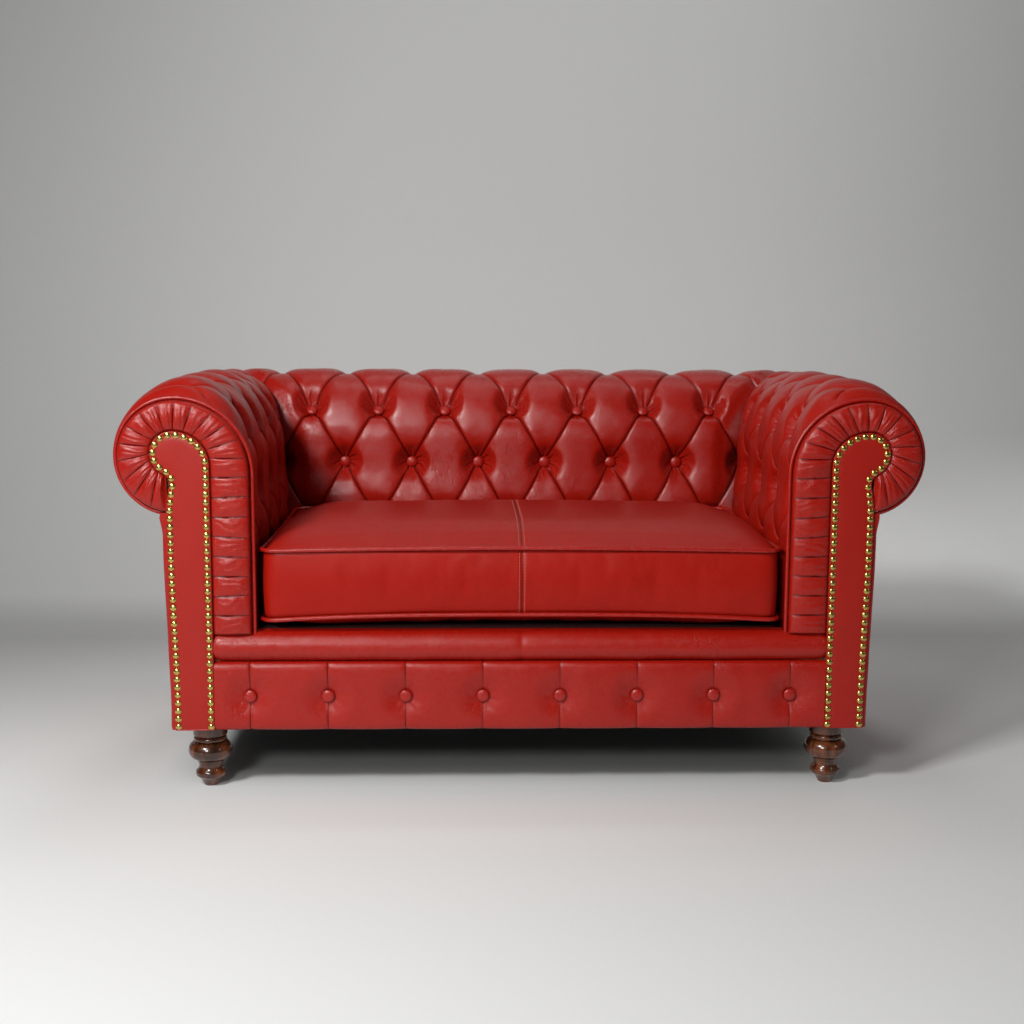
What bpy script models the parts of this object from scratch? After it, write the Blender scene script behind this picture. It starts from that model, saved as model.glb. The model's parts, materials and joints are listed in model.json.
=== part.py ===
"""Two-seater sofa with scroll arms, deep-buttoned inside faces and one loose bench cushion.

Frame: metres, +Z up, +X to the right, the front faces -Y. The origin is on the floor, under the
middle of the sofa. The back and both arms share one padding profile. A point of that profile is
given by its depth d behind the inside face and its height z.
"""

import math

import bmesh
import bpy
from mathutils import Matrix, Vector

# Driving sizes
FIT_GAP = 0.0003                # between two solids that rest on each other

SEAT_WIDTH = 1.000              # between the inside faces of the two arms
DEPTH = 0.920                   # front of the lip roll to the puffs behind the back
CREST_Z = 0.745                 # top of the roll under its puffs
INNER_RADIUS = 0.142            # round from the inside face up to the crest
ROLL_RADIUS = 0.108             # round from the crest down to the tuck under the roll
ROLL_TUCK_DEG = 174.0           # how far the roll turns before it is tucked in

LEG_HEIGHT = 0.121
LEG_SETBACK = 0.060             # axis of a front leg behind the front
LEG_PLATE = 0.0325              # radius of the plate on top of a front leg
# Turned front leg in shares of its height: a bead is its bottom, its top, its neck and its reach
LEG_PLATE_FROM = 0.818
LEG_COLLAR = (0.719, 0.798, 0.236, 0.260)
LEG_BUN = (0.430, 0.715, 0.227, 0.3455)
LEG_FILLET = (0.368, 0.4215, 0.192, 0.2033)
LEG_WAIST = ((0.187, 0.347), (0.188, 0.285))
LEG_RING = (0.1446, 0.252, 0.211, 0.2397)
LEG_FOOT = ((0.169, 0.103), (0.132, 0.0496), (0.109, 0.0))
REAR_LEG_TOP = 0.052
REAR_LEG_FOOT = 0.036
RAIL_HEIGHT = 0.129             # seat rails, above the legs
FRONT_RAIL_THICK = 0.044
SIDE_RAIL_IN = 0.060            # inner side of a side rail behind the inside face
SIDE_RAIL_THICK = 0.070
REAR_RAIL_THICK = 0.040
TOP_RAIL_IN = 0.085             # arm and back rails inside the roll
TOP_RAIL_THICK = 0.053
TOP_RAIL_Z = 0.545
TOP_RAIL_HEIGHT = 0.060
POST_THICK = 0.053
CENTRE_POST_WIDTH = 0.050
TIMBER_ROUND = 0.002

OUTSIDE_IN = 0.150              # inner side of an outside panel behind the inside face
OUTSIDE_THICK = 0.008

SPRINGS = 6
SPRING_WIRE = 0.0019            # radius of the spring wire
SPRING_SWING = 0.026            # half the width of a sinuous spring
SPRING_BENDS = 12
SPRING_TAIL = 0.012             # straight part between a rail and the first bend
HESSIAN_THICK = 0.0012
HESSIAN_LAP = 0.010             # hessian lies this far over a side rail
DECK_TOP_Z = 0.310
DECK_GAP = 0.0015               # deck pad to the padding round it

TUFT_PITCH = 0.153              # between neighbouring buttons of one row
TUFT_ROW = 0.130                # between two rows, along the profile
TUFT_ROWS = 3
TUFT_CELLS = 3                  # mesh steps from one row to the next
BELOW_STEPS = 2                 # mesh steps under the lowest row
ROLL_STEPS = 7                  # mesh steps from the crest round to the tuck
TUFT_SINK = 0.036               # buttons below the profile
TUFT_RISE = 0.020               # puffs above the profile, at the crest and behind it
INNER_RISE = -0.010             # the same on the upright inside face
PLEAT_SINK = 0.006              # straight pleats over the roll
FOLD_SHARE = 0.52               # how much of the puff a fold keeps midway between two buttons
SMOOTH_BELOW_Z = 0.480          # the seat cushion covers what lies lower
PUFF_FADE = 0.085
EDGE_FADE = 0.045               # the padding thins toward the arm front
CORNER_CREASE = 0.012
CORNER_FADE = 0.030

FACING_THICK = 0.0060
FACING_IN = 0.076               # inner edge of the scroll facing behind the inside face
FACING_HEAD = 0.041             # radius of its round head
FACING_SHOULDER = 0.063         # height of its inner shoulder
FACING_NECK = 0.022             # hollow round under the head
FACING_LAP = 0.008              # the facing covers this much of the pleated border
FACING_DOME = 0.0016
FACING_REVEAL = 0.0025          # the facing stands this far behind the front of the lip roll
BORDER_BOARD = 0.0147
PLEATED_THICK = 0.0112
PLEATS = 23
PLEAT_RIDGE = 0.0080
PLEAT_CREASE = 0.45             # share of the ridge that a crease keeps
PIPING_RADIUS = 0.0045
PIPING_ROOM = 0.0008            # piping to the edge that it runs along
HEAD_OUT = 0.002                # centre of the facing's head outside the roll's centre
HEAD_DOWN = 0.003               # and below it

LIP_RADIUS = 0.0265
LIP_REACH = 0.026               # the lip roll goes this far back over the front rail
LIP_SEAM = 0.003                # depth of its middle seam
LIP_SEAM_WIDTH = 0.016
BORDER_PUFF = 0.0085
BORDER_BASE = 0.0075
BORDER_BUTTONS = 8
BORDER_BUTTON_MARGIN = 0.066    # last button to the end of the border
BUTTON_RADIUS = 0.0120
BUTTON_DOME = 0.0042
BUTTON_SHANK = 0.0040

CUSHION_SIDE_GAP = 0.015        # seam of the seat cushion to the inside face of an arm
CUSHION_FRONT = 0.014           # front seam behind the front of the lip roll
CUSHION_BACK_GAP = 0.043        # rear seam to the inside face of the back
CUSHION_SEAM_LOW = 0.028        # bottom seam above the deck
CUSHION_BOXING = 0.120
CUSHION_CROWN = 0.036
CUSHION_BULGE = 0.009
CUSHION_SIDE_BULGE = 0.005
CUSHION_DRAW_IN = 0.006         # seams drawn in between the corners
CUSHION_CORNER = 0.035
CUSHION_CHANNEL = 0.0035        # stitched seam at the middle
SEAM_RISE = 0.005               # the front top seam rises toward the middle
SEAM_PIPING = 0.0042
SEAM_ROOM = 0.0005              # piping to the seam that holds it
SEAM_LEAN_DEG = 42.0            # how far the piping stands over the seam, up from level
ZIP_LENGTH = 0.600
ZIP_WIDTH = 0.028
ZIP_THICK = 0.0014
CHAIN_WIDTH = 0.0060
CHAIN_THICK = 0.0016
SLIDER_LENGTH = 0.0130
SLIDER_WIDTH = 0.0100
SLIDER_THICK = 0.0026
SLIDER_PULL = 0.024
PULL_THICK = 0.0014

COVER_THICK = 0.0012
COVER_INSET = 0.012
COVER_NOTCH = 0.006

# Places worked out from the sizes
SEAT_HALF = SEAT_WIDTH / 2
FRONT_Y = -DEPTH / 2
BACK_FACE_Y = DEPTH / 2 - TUFT_RISE - ROLL_RADIUS - INNER_RADIUS
STRAIGHT_TOP = CREST_Z - INNER_RADIUS
CREST_V = STRAIGHT_TOP + INNER_RADIUS * math.pi / 2
END_V = CREST_V + ROLL_RADIUS * math.radians(ROLL_TUCK_DEG)
ROLL_CENTRE_Z = CREST_Z - ROLL_RADIUS
TUCK_Z = ROLL_CENTRE_Z + ROLL_RADIUS * math.cos(math.radians(ROLL_TUCK_DEG))

FRAME_Z = LEG_HEIGHT + FIT_GAP
RAIL_TOP = FRAME_Z + RAIL_HEIGHT
SPRING_Z = RAIL_TOP + FIT_GAP + SPRING_WIRE
HESSIAN_Z = SPRING_Z + SPRING_WIRE + FIT_GAP
PAD_Z = HESSIAN_Z + HESSIAN_THICK + FIT_GAP
TOP_RAIL_OUT = TOP_RAIL_IN + TOP_RAIL_THICK
LINING_IN = TOP_RAIL_IN - FIT_GAP - HESSIAN_THICK
OUTSIDE_OUT = OUTSIDE_IN + OUTSIDE_THICK

FACING_FRONT = FRONT_Y + FACING_REVEAL
PLEATED_FRONT = FACING_FRONT + FACING_THICK + FIT_GAP
PLEATED_BACK = PLEATED_FRONT + PLEATED_THICK
BOARD_FRONT = PLEATED_BACK + FIT_GAP
BOARD_BACK = BOARD_FRONT + BORDER_BOARD
ARM_PAD_FRONT = BOARD_BACK + FIT_GAP
EDGE_LIFT = -(PIPING_RADIUS + PIPING_ROOM)

LIP_Z = RAIL_TOP + FIT_GAP + LIP_RADIUS
LIP_TOP = LIP_Z + LIP_RADIUS
LIP_BACK = BOARD_FRONT - FIT_GAP + LIP_REACH
BORDER_HALF = SEAT_HALF + FACING_IN - FIT_GAP
BUTTON_PITCH = 2 * (BORDER_HALF - BORDER_BUTTON_MARGIN) / (BORDER_BUTTONS - 1)
BUTTON_Z = (FRAME_Z + RAIL_TOP) / 2
PLEATS_FROM = LIP_TOP + FIT_GAP
FRONT_RAIL_BACK = BOARD_FRONT + FRONT_RAIL_THICK

POST_FRONT = BACK_FACE_Y + TOP_RAIL_IN
SIDE_RAIL_MID = SEAT_HALF + SIDE_RAIL_IN + SIDE_RAIL_THICK / 2
FRONT_LEG_Y = FRONT_Y + LEG_SETBACK
REAR_LEG_Y = POST_FRONT + REAR_LEG_TOP / 2

CUSHION_HALF = SEAT_HALF - CUSHION_SIDE_GAP
CUSHION_FRONT_Y = FRONT_Y + CUSHION_FRONT
CUSHION_BACK_Y = BACK_FACE_Y - CUSHION_BACK_GAP
CUSHION_LOW = DECK_TOP_Z + FIT_GAP
SEAM_LOW_Z = CUSHION_LOW + CUSHION_SEAM_LOW
SEAM_TOP_Z = SEAM_LOW_Z + CUSHION_BOXING

LEATHER = (0.330, 0.018, 0.016, 1.0)
DARK_LEATHER = (0.250, 0.014, 0.013, 1.0)
WALNUT = (0.035, 0.013, 0.008, 1.0)
TIMBER = (0.480, 0.320, 0.180, 1.0)
JUTE = (0.420, 0.330, 0.200, 1.0)
STEEL = (0.420, 0.420, 0.430, 1.0)
BRASS = (0.380, 0.260, 0.090, 1.0)
BLACK_CLOTH = (0.020, 0.020, 0.022, 1.0)

SIDES = (("left", -1), ("right", 1))


# Building tools
def clear_scene():
    """Removes every object, so that the script can be run again."""
    for item in list(bpy.data.objects):
        bpy.data.objects.remove(item, do_unlink=True)


def smoothstep(value):
    """0 below 0, 1 above 1, and a smooth rise between."""
    value = min(max(value, 0.0), 1.0)
    return value * value * (3 - 2 * value)


def add_object(name, data, colour, roughness, metallic=0.0):
    """Links an object with its own material into the sofa's collection."""
    item = bpy.data.objects.new(name, data)
    SOFA.objects.link(item)
    finish = bpy.data.materials.new(name + "_finish")
    finish.use_nodes = True
    shader = finish.node_tree.nodes["Principled BSDF"]
    shader.inputs["Base Color"].default_value = colour
    shader.inputs["Roughness"].default_value = roughness
    shader.inputs["Metallic"].default_value = metallic
    data.materials.append(finish)
    return item


def mesh_object(name, bm, colour, roughness, metallic=0.0, sharp_deg=35.0):
    """Turns a bmesh into a smooth-shaded object whose faces point out."""
    bmesh.ops.recalc_face_normals(bm, faces=bm.faces)
    mesh = bpy.data.meshes.new(name)
    bm.to_mesh(mesh)
    bm.free()
    mesh.shade_smooth()
    mesh.set_sharp_from_angle(angle=math.radians(sharp_deg))
    return add_object(name, mesh, colour, roughness, metallic)


def loft(rings, rising=None):
    """A closed bmesh through rings of equal point count, with a flat cap on the first and the last.

    rising(ring, point), where given, tells which diagonal splits each side face.
    """
    bm = bmesh.new()
    rows = [[bm.verts.new(point) for point in ring] for ring in rings]
    for row, (lower, upper) in enumerate(zip(rows, rows[1:])):
        for i in range(len(lower)):
            j = (i + 1) % len(lower)
            corners = (lower[i], lower[j], upper[j], upper[i])
            if rising is None:
                bm.faces.new(corners)
                continue
            if not rising(row, i):
                corners = corners[1:] + corners[:1]
            bm.faces.new((corners[0], corners[1], corners[2]))
            bm.faces.new((corners[0], corners[2], corners[3]))
    bm.faces.new(rows[0])
    bm.faces.new(rows[-1])
    return bm


def box(name, x_span, y_span, z_span, colour, roughness, metallic=0.0, round_edge=TIMBER_ROUND):
    """A box between the given limits, with softened edges."""
    bm = bmesh.new()
    bmesh.ops.create_cube(bm, size=1.0)
    spans = (x_span, y_span, z_span)
    bmesh.ops.scale(bm, vec=[abs(b - a) for a, b in spans], verts=bm.verts)
    item = mesh_object(name, bm, colour, roughness, metallic)
    item.location = [(a + b) / 2 for a, b in spans]
    if round_edge:
        edge = item.modifiers.new("soft_edges", "BEVEL")
        edge.width = round_edge
        edge.segments = 1
    return item


def plate(name, outline, y_span, colour, roughness, dome=0.0):
    """A flat outline of (x, z) points, standing upright between two y places."""
    curve = bpy.data.curves.new(name, "CURVE")
    curve.dimensions = "2D"
    curve.fill_mode = "BOTH"
    spline = curve.splines.new("POLY")
    spline.points.add(len(outline) - 1)
    for point, (x, z) in zip(spline.points, outline):
        point.co = (x, z, 0.0, 1.0)
    spline.use_cyclic_u = True
    curve.extrude = abs(y_span[1] - y_span[0]) / 2
    item = add_object(name, curve, colour, roughness)
    item.location.y = (y_span[0] + y_span[1]) / 2
    item.rotation_euler.x = math.pi / 2
    if dome:
        weld = item.modifiers.new("joined_caps", "WELD")
        weld.merge_threshold = 0.00005
        edge = item.modifiers.new("rounded_rim", "BEVEL")
        edge.width = dome
        edge.segments = 2
        edge.limit_method = "ANGLE"
        edge.angle_limit = math.radians(60)
    return item


def tube(name, points, radius, colour, roughness, metallic=0.0, closed=False, bevels=2):
    """A round tube along points."""
    curve = bpy.data.curves.new(name, "CURVE")
    curve.dimensions = "3D"
    curve.bevel_depth = radius
    curve.bevel_resolution = bevels
    curve.use_fill_caps = not closed
    spline = curve.splines.new("POLY")
    spline.points.add(len(points) - 1)
    for point, place in zip(spline.points, points):
        point.co = (*place, 1.0)
    spline.use_cyclic_u = closed
    return add_object(name, curve, colour, roughness, metallic)


def turned(name, profile, steps, colour, roughness, metallic=0.0):
    """A solid turned about its own Z axis, from (radius, height) points given top to bottom."""
    mesh = bpy.data.meshes.new(name)
    points = [(radius, 0.0, height) for radius, height in profile]
    mesh.from_pydata(points, [(i, i + 1) for i in range(len(points) - 1)], [])
    item = add_object(name, mesh, colour, roughness, metallic)
    spin = item.modifiers.new("turned", "SCREW")
    spin.axis = "Z"
    spin.angle = math.tau
    spin.steps = steps
    spin.render_steps = steps
    spin.use_merge_vertices = True
    spin.merge_threshold = 0.00001
    spin.use_smooth_shade = True
    return item


# The padding profile
def profile_point(v, lift=0.0):
    """(depth, height) at arc length v of the profile, lifted along its outward normal."""
    if v <= STRAIGHT_TOP:
        return -lift, v
    if v <= CREST_V:
        turn = (v - STRAIGHT_TOP) / INNER_RADIUS
        reach = INNER_RADIUS + lift
        return INNER_RADIUS - reach * math.cos(turn), STRAIGHT_TOP + reach * math.sin(turn)
    turn = (v - CREST_V) / ROLL_RADIUS
    reach = ROLL_RADIUS + lift
    return INNER_RADIUS + reach * math.sin(turn), ROLL_CENTRE_Z + reach * math.cos(turn)


def spread(start, end, count):
    """count values from start to end, both included."""
    return [start + (end - start) * i / (count - 1) for i in range(count)]


def fold_shape(across, down):
    """0 on a button, 1 on top of a puff. Rows lie at whole values of down, the first one at 1."""
    down = max(down, 0.0)
    lowest = min(down, float(TUFT_ROWS))
    first = across + 0.5 + lowest / 2
    second = across + 0.5 - lowest / 2
    a = 4 * (first % 1) * (1 - first % 1)
    b = 4 * (second % 1) * (1 - second % 1)
    puff = math.sqrt(a * b)
    ridge = a + b - a * b
    return (1 - FOLD_SHARE) * puff + FOLD_SHARE * ridge


def tuft_lift(across, v):
    """Lift of the buttoned surface off the profile, across in pitches and v along the profile."""
    down = (CREST_V - v) / TUFT_ROW
    sink = PLEAT_SINK + (TUFT_SINK - PLEAT_SINK) * smoothstep(down)
    rise = INNER_RISE + (TUFT_RISE - INNER_RISE) * smoothstep((v - STRAIGHT_TOP) / (CREST_V - STRAIGHT_TOP))
    rise *= smoothstep((v - SMOOTH_BELOW_Z) / PUFF_FADE)
    sink *= smoothstep((v - PAD_Z) / (SMOOTH_BELOW_Z - PAD_Z))
    tuck = smoothstep((END_V - v) / (ROLL_RADIUS * 0.9))
    return tuck * ((rise + sink) * fold_shape(across, down) - sink)


def section_samples():
    """Arc lengths at which the padding's section has its points, from its foot over the roll."""
    rows = [CREST_V - i * TUFT_ROW / TUFT_CELLS for i in range(TUFT_CELLS * TUFT_ROWS + 1)]
    below = spread(PAD_Z, rows[-1], BELOW_STEPS + 1)[:-1]
    return below + rows[::-1] + spread(CREST_V, END_V, ROLL_STEPS + 1)[1:]


def follows_fold(column, point):
    """Whether the rising diagonal of a mesh cell is the one to split it by.

    column counts mesh steps along the pad from a button, point counts along the section. Where a
    fold crosses the cell it decides. Elsewhere the higher diagonal does, which keeps a puff round.
    """
    down = TUFT_CELLS * TUFT_ROWS - (point - BELOW_STEPS)
    if not 0 < down <= TUFT_CELLS * TUFT_ROWS:
        return True
    period = 2 * TUFT_CELLS
    if (column + down + TUFT_CELLS) % period == 0:
        return True
    if (column - down + 1 + TUFT_CELLS) % period == 0:
        return False

    def height(across, below):
        return fold_shape(across / period, below / TUFT_CELLS)

    rising = height(column, down) + height(column + 1, down - 1)
    return rising >= height(column, down - 1) + height(column + 1, down)


def pad_section(across, thin, room):
    """Closed (depth, height) ring of the padding.

    thin lowers the puffs, from 1 down to 0. room is what is left to the rear corner of the inside
    faces, so room plus a point's depth tells how near that point lies to the mitre.
    """
    outer = []
    for v in section_samples():
        to_mitre = (room + profile_point(v)[0]) / math.sqrt(2)
        crease = CORNER_CREASE * (1 - smoothstep(to_mitre / CORNER_FADE))
        crease *= smoothstep((v - PAD_Z) / (SMOOTH_BELOW_Z - PAD_Z)) * smoothstep((END_V - v) / ROLL_RADIUS)
        lift = (tuft_lift(across, v) - crease) * thin + EDGE_LIFT * (1 - thin)
        outer.append(profile_point(v, lift))
    rail_top = TOP_RAIL_Z + TOP_RAIL_HEIGHT + FIT_GAP
    hollow = [
        (TOP_RAIL_OUT + FIT_GAP, TUCK_Z),
        (TOP_RAIL_OUT + FIT_GAP, rail_top),
        (LINING_IN - FIT_GAP, rail_top),
        (LINING_IN - FIT_GAP, PAD_Z),
    ]
    return outer + hollow


def round_corner(x, y):
    """Turns the square corner beyond both crest lines into a quarter round, and keeps its mitre."""
    away_x = x - (SEAT_HALF + INNER_RADIUS)
    away_y = y - (BACK_FACE_Y + INNER_RADIUS)
    far, near = max(away_x, away_y), min(away_x, away_y)
    if near <= 0:
        return x, y
    turn = near / far * math.pi / 4
    long_leg, short_leg = far * math.cos(turn), far * math.sin(turn)
    moved = (long_leg, short_leg) if away_x >= away_y else (short_leg, long_leg)
    return x - away_x + moved[0], y - away_y + moved[1]


def cut_at_mitre(bm, side, keep_arm):
    """Cuts a pad at the upright plane through a rear corner and closes the cut."""
    corner = Vector((side * SEAT_HALF, BACK_FACE_Y, 0.0))
    away_from_back = Vector((side, -1.0, 0.0)).normalized()
    outward = -away_from_back if keep_arm else away_from_back
    bmesh.ops.bisect_plane(
        bm,
        geom=bm.verts[:] + bm.edges[:] + bm.faces[:],
        plane_co=corner - outward * FIT_GAP,
        plane_no=outward,
        clear_outer=True,
    )
    bmesh.ops.holes_fill(bm, edges=[edge for edge in bm.edges if edge.is_boundary], sides=0)


# Upholstery
def back_pad():
    """Buttoned padding of the back, mitred to the arms."""
    step = TUFT_PITCH / (2 * TUFT_CELLS)
    steps = math.ceil((SEAT_HALF + INNER_RADIUS + ROLL_RADIUS + TUFT_RISE) / step)
    rings = []
    for i in range(-steps, steps + 1):
        x = i * step
        ring = []
        for depth, z in pad_section(x / TUFT_PITCH, 1.0, SEAT_HALF - abs(x)):
            ring.append(Vector((x, BACK_FACE_Y + depth, z)))
        rings.append(ring)
    bm = loft(rings, rising=lambda ring, point: follows_fold(ring - steps, point))
    for _, side in SIDES:
        cut_at_mitre(bm, side, keep_arm=False)
    for vert in bm.verts:
        side = 1 if vert.co.x > 0 else -1
        x, y = round_corner(abs(vert.co.x), vert.co.y)
        vert.co.x, vert.co.y = side * x, y
    mesh_object("back_pad", bm, LEATHER, 0.38, sharp_deg=50)


def arm_pad(label, side):
    """Buttoned padding of one arm, from the arm front to the mitre at the rear corner."""
    crest_corner = BACK_FACE_Y + INNER_RADIUS
    last_back_fold = (math.floor((SEAT_HALF + INNER_RADIUS) / TUFT_PITCH - 0.5) + 0.5) * TUFT_PITCH
    first_fold = crest_corner - (SEAT_HALF + INNER_RADIUS - last_back_fold)
    step = TUFT_PITCH / (2 * TUFT_CELLS)
    before = math.floor((first_fold - ARM_PAD_FRONT - EDGE_FADE / 2) / step)
    behind = math.ceil((DEPTH / 2 + TUFT_RISE - first_fold) / step)
    stations = [ARM_PAD_FRONT, ARM_PAD_FRONT + EDGE_FADE / 4]
    stations += [first_fold + i * step for i in range(-before, behind + 1)]
    rings = []
    for y in stations:
        thin = smoothstep(0.5 + (y - ARM_PAD_FRONT) / (2 * EDGE_FADE)) * 2 - 1
        ring = []
        across = (y - first_fold) / TUFT_PITCH + 0.5
        for depth, z in pad_section(across, thin, BACK_FACE_Y - y):
            ring.append(Vector((side * (SEAT_HALF + depth), y, z)))
        rings.append(ring)
    first_column = TUFT_CELLS - before - 2
    bm = loft(rings, rising=lambda ring, point: follows_fold(first_column + ring, point))
    cut_at_mitre(bm, side, keep_arm=True)
    for vert in bm.verts:
        x, y = round_corner(abs(vert.co.x), vert.co.y)
        vert.co.x, vert.co.y = side * x, y
    mesh_object(label + "_arm_pad", bm, LEATHER, 0.38, sharp_deg=50)


def facing_outline():
    """(depth, height) outline of the scroll facing, from its inner foot round to its outer foot."""
    head = Vector((INNER_RADIUS + HEAD_OUT, ROLL_CENTRE_Z - HEAD_DOWN))
    shoulder = head.x - FACING_IN
    shoulder_z = head.y + FACING_HEAD - FACING_SHOULDER
    points = [(FACING_IN, FRAME_Z)]
    for turn in spread(0, math.pi / 2, 7):
        points.append((head.x - shoulder * math.cos(turn), shoulder_z + FACING_SHOULDER * math.sin(turn)))
    neck_x = OUTSIDE_IN + FACING_NECK
    drop = math.sqrt((FACING_HEAD + FACING_NECK) ** 2 - (neck_x - head.x) ** 2)
    end = math.atan2(-drop, neck_x - head.x)
    for turn in spread(math.pi / 2, end, 13)[1:]:
        points.append((head.x + FACING_HEAD * math.cos(turn), head.y + FACING_HEAD * math.sin(turn)))
    for turn in spread(end + math.pi, math.pi, 5)[1:]:
        points.append((neck_x + FACING_NECK * math.cos(turn), head.y - drop + FACING_NECK * math.sin(turn)))
    points.append((OUTSIDE_IN, FRAME_Z))
    return points


def scroll_facing(label, side):
    """Flat covered panel on the arm front, and the board that carries its middle."""
    outline = [(side * (SEAT_HALF + depth), z) for depth, z in facing_outline()]
    span = (FACING_FRONT, FACING_FRONT + FACING_THICK)
    plate(label + "_scroll_facing", outline, span, LEATHER, 0.35, dome=FACING_DOME)
    edge = FACING_IN + FACING_LAP + FIT_GAP
    x_span = (side * (SEAT_HALF + edge), side * (SEAT_HALF + OUTSIDE_IN - FACING_LAP))
    top = ROLL_CENTRE_Z - FACING_LAP - FACING_NECK
    y_span = (span[1] + FIT_GAP, BOARD_FRONT - FIT_GAP)
    box(label + "_facing_board", sorted(x_span), y_span, (FRAME_Z, top), TIMBER, 0.7)


def pleat_ring(v, lift_share):
    """Section of the pleated border at arc length v: front points from the facing out, then the back."""
    outer = Vector(profile_point(v, EDGE_LIFT))
    head = Vector((INNER_RADIUS + HEAD_OUT, ROLL_CENTRE_Z - HEAD_DOWN))
    round_head = FACING_HEAD - FACING_LAP
    shoulder_z = head.y + FACING_HEAD - FACING_SHOULDER
    if v <= STRAIGHT_TOP:
        inner = Vector((FACING_IN + FACING_LAP, v))
        inner.y = min(inner.y, shoulder_z)
    elif v <= CREST_V:
        turn = (v - STRAIGHT_TOP) / INNER_RADIUS
        across = head.x - FACING_IN - FACING_LAP
        inner = Vector((head.x - across * math.cos(turn), shoulder_z))
        inner.y += (FACING_SHOULDER - FACING_LAP) * math.sin(turn)
    else:
        turn = (v - CREST_V) / ROLL_RADIUS * 0.9
        inner = head + round_head * Vector((math.sin(turn), math.cos(turn)))
    lap = FACING_LAP * 1.15 / (outer - inner).length
    ring = []
    for share, height in ((0.0, 0.0), (lap, 0.0), (0.36, 0.85), (0.82, 1.0), (1.0, 0.1)):
        place = inner.lerp(outer, share)
        front = PLEATED_FRONT - PLEAT_RIDGE * height * lift_share
        ring.append((place.x, front, place.y))
    ring.append((outer.x, PLEATED_BACK, outer.y))
    ring.append((inner.x, PLEATED_BACK, inner.y))
    return ring


def pleated_border(label, side):
    """Pleated leather between the facing and the piping, one ridge per pleat."""
    rings = []
    pleat = (END_V - PLEATS_FROM) / PLEATS
    for i in range(PLEATS * 3 + 1):
        v = PLEATS_FROM + pleat * i / 3
        ridge = (PLEAT_CREASE if i % 3 == 0 else 1.0) * smoothstep((END_V - v) / pleat)
        ring = [(side * (SEAT_HALF + x), y, z) for x, y, z in pleat_ring(v, ridge)]
        rings.append(ring)
    mesh_object(label + "_pleated_border", loft(rings), LEATHER, 0.38, sharp_deg=50)


def arm_piping(label, side):
    """Piping round the arm front, from the lip roll over the scroll to the tuck."""
    points = []
    beside_panel = OUTSIDE_OUT + 2 * PIPING_RADIUS - INNER_RADIUS
    last = CREST_V + ROLL_RADIUS * (math.pi - math.asin(beside_panel / ROLL_RADIUS))
    for v in spread(PLEATS_FROM, STRAIGHT_TOP, 4)[:-1] + spread(STRAIGHT_TOP, last, 32):
        depth, z = profile_point(v)
        points.append((side * (SEAT_HALF + depth), PLEATED_BACK, z))
    points[0] = (points[0][0], points[0][1], PLEATS_FROM + FIT_GAP)
    tube(label + "_arm_piping", points, PIPING_RADIUS, DARK_LEATHER, 0.38)


def lip_roll():
    """Padded roll over the front rail, half round in front of the arm boards at its ends."""
    inside = SEAT_HALF - FIT_GAP
    half = [0.0, LIP_SEAM_WIDTH, inside / 2, inside, SEAT_HALF + FIT_GAP * 4]
    half += [BORDER_HALF - 0.006, BORDER_HALF]
    middle = FRONT_Y + LIP_RADIUS
    short_back = BOARD_FRONT - FIT_GAP
    rings = []
    for x in [-x for x in reversed(half[1:])] + half:
        radius = LIP_RADIUS - (LIP_SEAM if x == 0.0 else 0.0)
        radius *= 0.92 if abs(x) == BORDER_HALF else 1.0
        start = math.acos((short_back - middle) / radius)
        rear = [(LIP_BACK, radius), (middle, radius)]
        if abs(x) > inside:
            rear = [(short_back, radius * 0.3), (short_back, radius * 0.6)]
        ring = [(x, y, LIP_Z + rise) for y, rise in rear]
        for turn in spread(start, math.tau - start, 9):
            ring.append((x, middle + radius * math.cos(turn), LIP_Z + radius * math.sin(turn)))
        ring += [(x, y, LIP_Z - rise) for y, rise in reversed(rear)]
        rings.append(ring)
    mesh_object("lip_roll", loft(rings), LEATHER, 0.36, sharp_deg=60)


def border_front(x, z):
    """y of the buttoned border's face at (x, z)."""
    nearest = round(x / BUTTON_PITCH + 0.5) - 0.5
    limit = BORDER_BUTTONS / 2 - 0.5
    seam = min(max(nearest, -limit), limit) * BUTTON_PITCH
    away = min(abs(x - seam) / (BUTTON_PITCH / 2), 1.0)
    level = min(abs(z - BUTTON_Z) / (RAIL_HEIGHT / 2), 1.0)
    puff = math.sqrt(math.sin(away * math.pi / 2))
    shape = puff * (0.45 + 0.55 * math.sqrt(1 - level ** 4)) + (1 - puff) * 0.30 * level
    from_button = math.hypot(x - seam, z - BUTTON_Z)
    shape *= smoothstep((from_button - 1.25 * BUTTON_RADIUS) / BUTTON_RADIUS)
    return BOARD_FRONT - FIT_GAP - BORDER_BASE - BORDER_PUFF * shape


def front_border():
    """Leather border under the lip roll, drawn in at a seam through each button."""
    flat = BUTTON_RADIUS * 5 / 6
    stations = [-BORDER_HALF, -BORDER_HALF + BORDER_BUTTON_MARGIN / 2]
    for i in range(BORDER_BUTTONS):
        seam = (i - (BORDER_BUTTONS - 1) / 2) * BUTTON_PITCH
        stations += [seam - flat, seam, seam + flat, seam + BUTTON_PITCH / 2]
    stations[-1] = BORDER_HALF - BORDER_BUTTON_MARGIN / 2
    stations.append(BORDER_HALF)
    low, high = FRAME_Z, RAIL_TOP
    heights = [low, low + 0.012, low + 0.034, BUTTON_Z - flat, BUTTON_Z + flat]
    heights += [high - 0.034, high - 0.012, high]
    back = BOARD_FRONT - FIT_GAP
    rings = []
    for x in stations:
        ring = [(x, back, low)]
        ring += [(x, border_front(x, z), z) for z in heights]
        ring.append((x, back, high))
        rings.append(ring)
    mesh_object("front_border", loft(rings), LEATHER, 0.38, sharp_deg=40)


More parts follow.
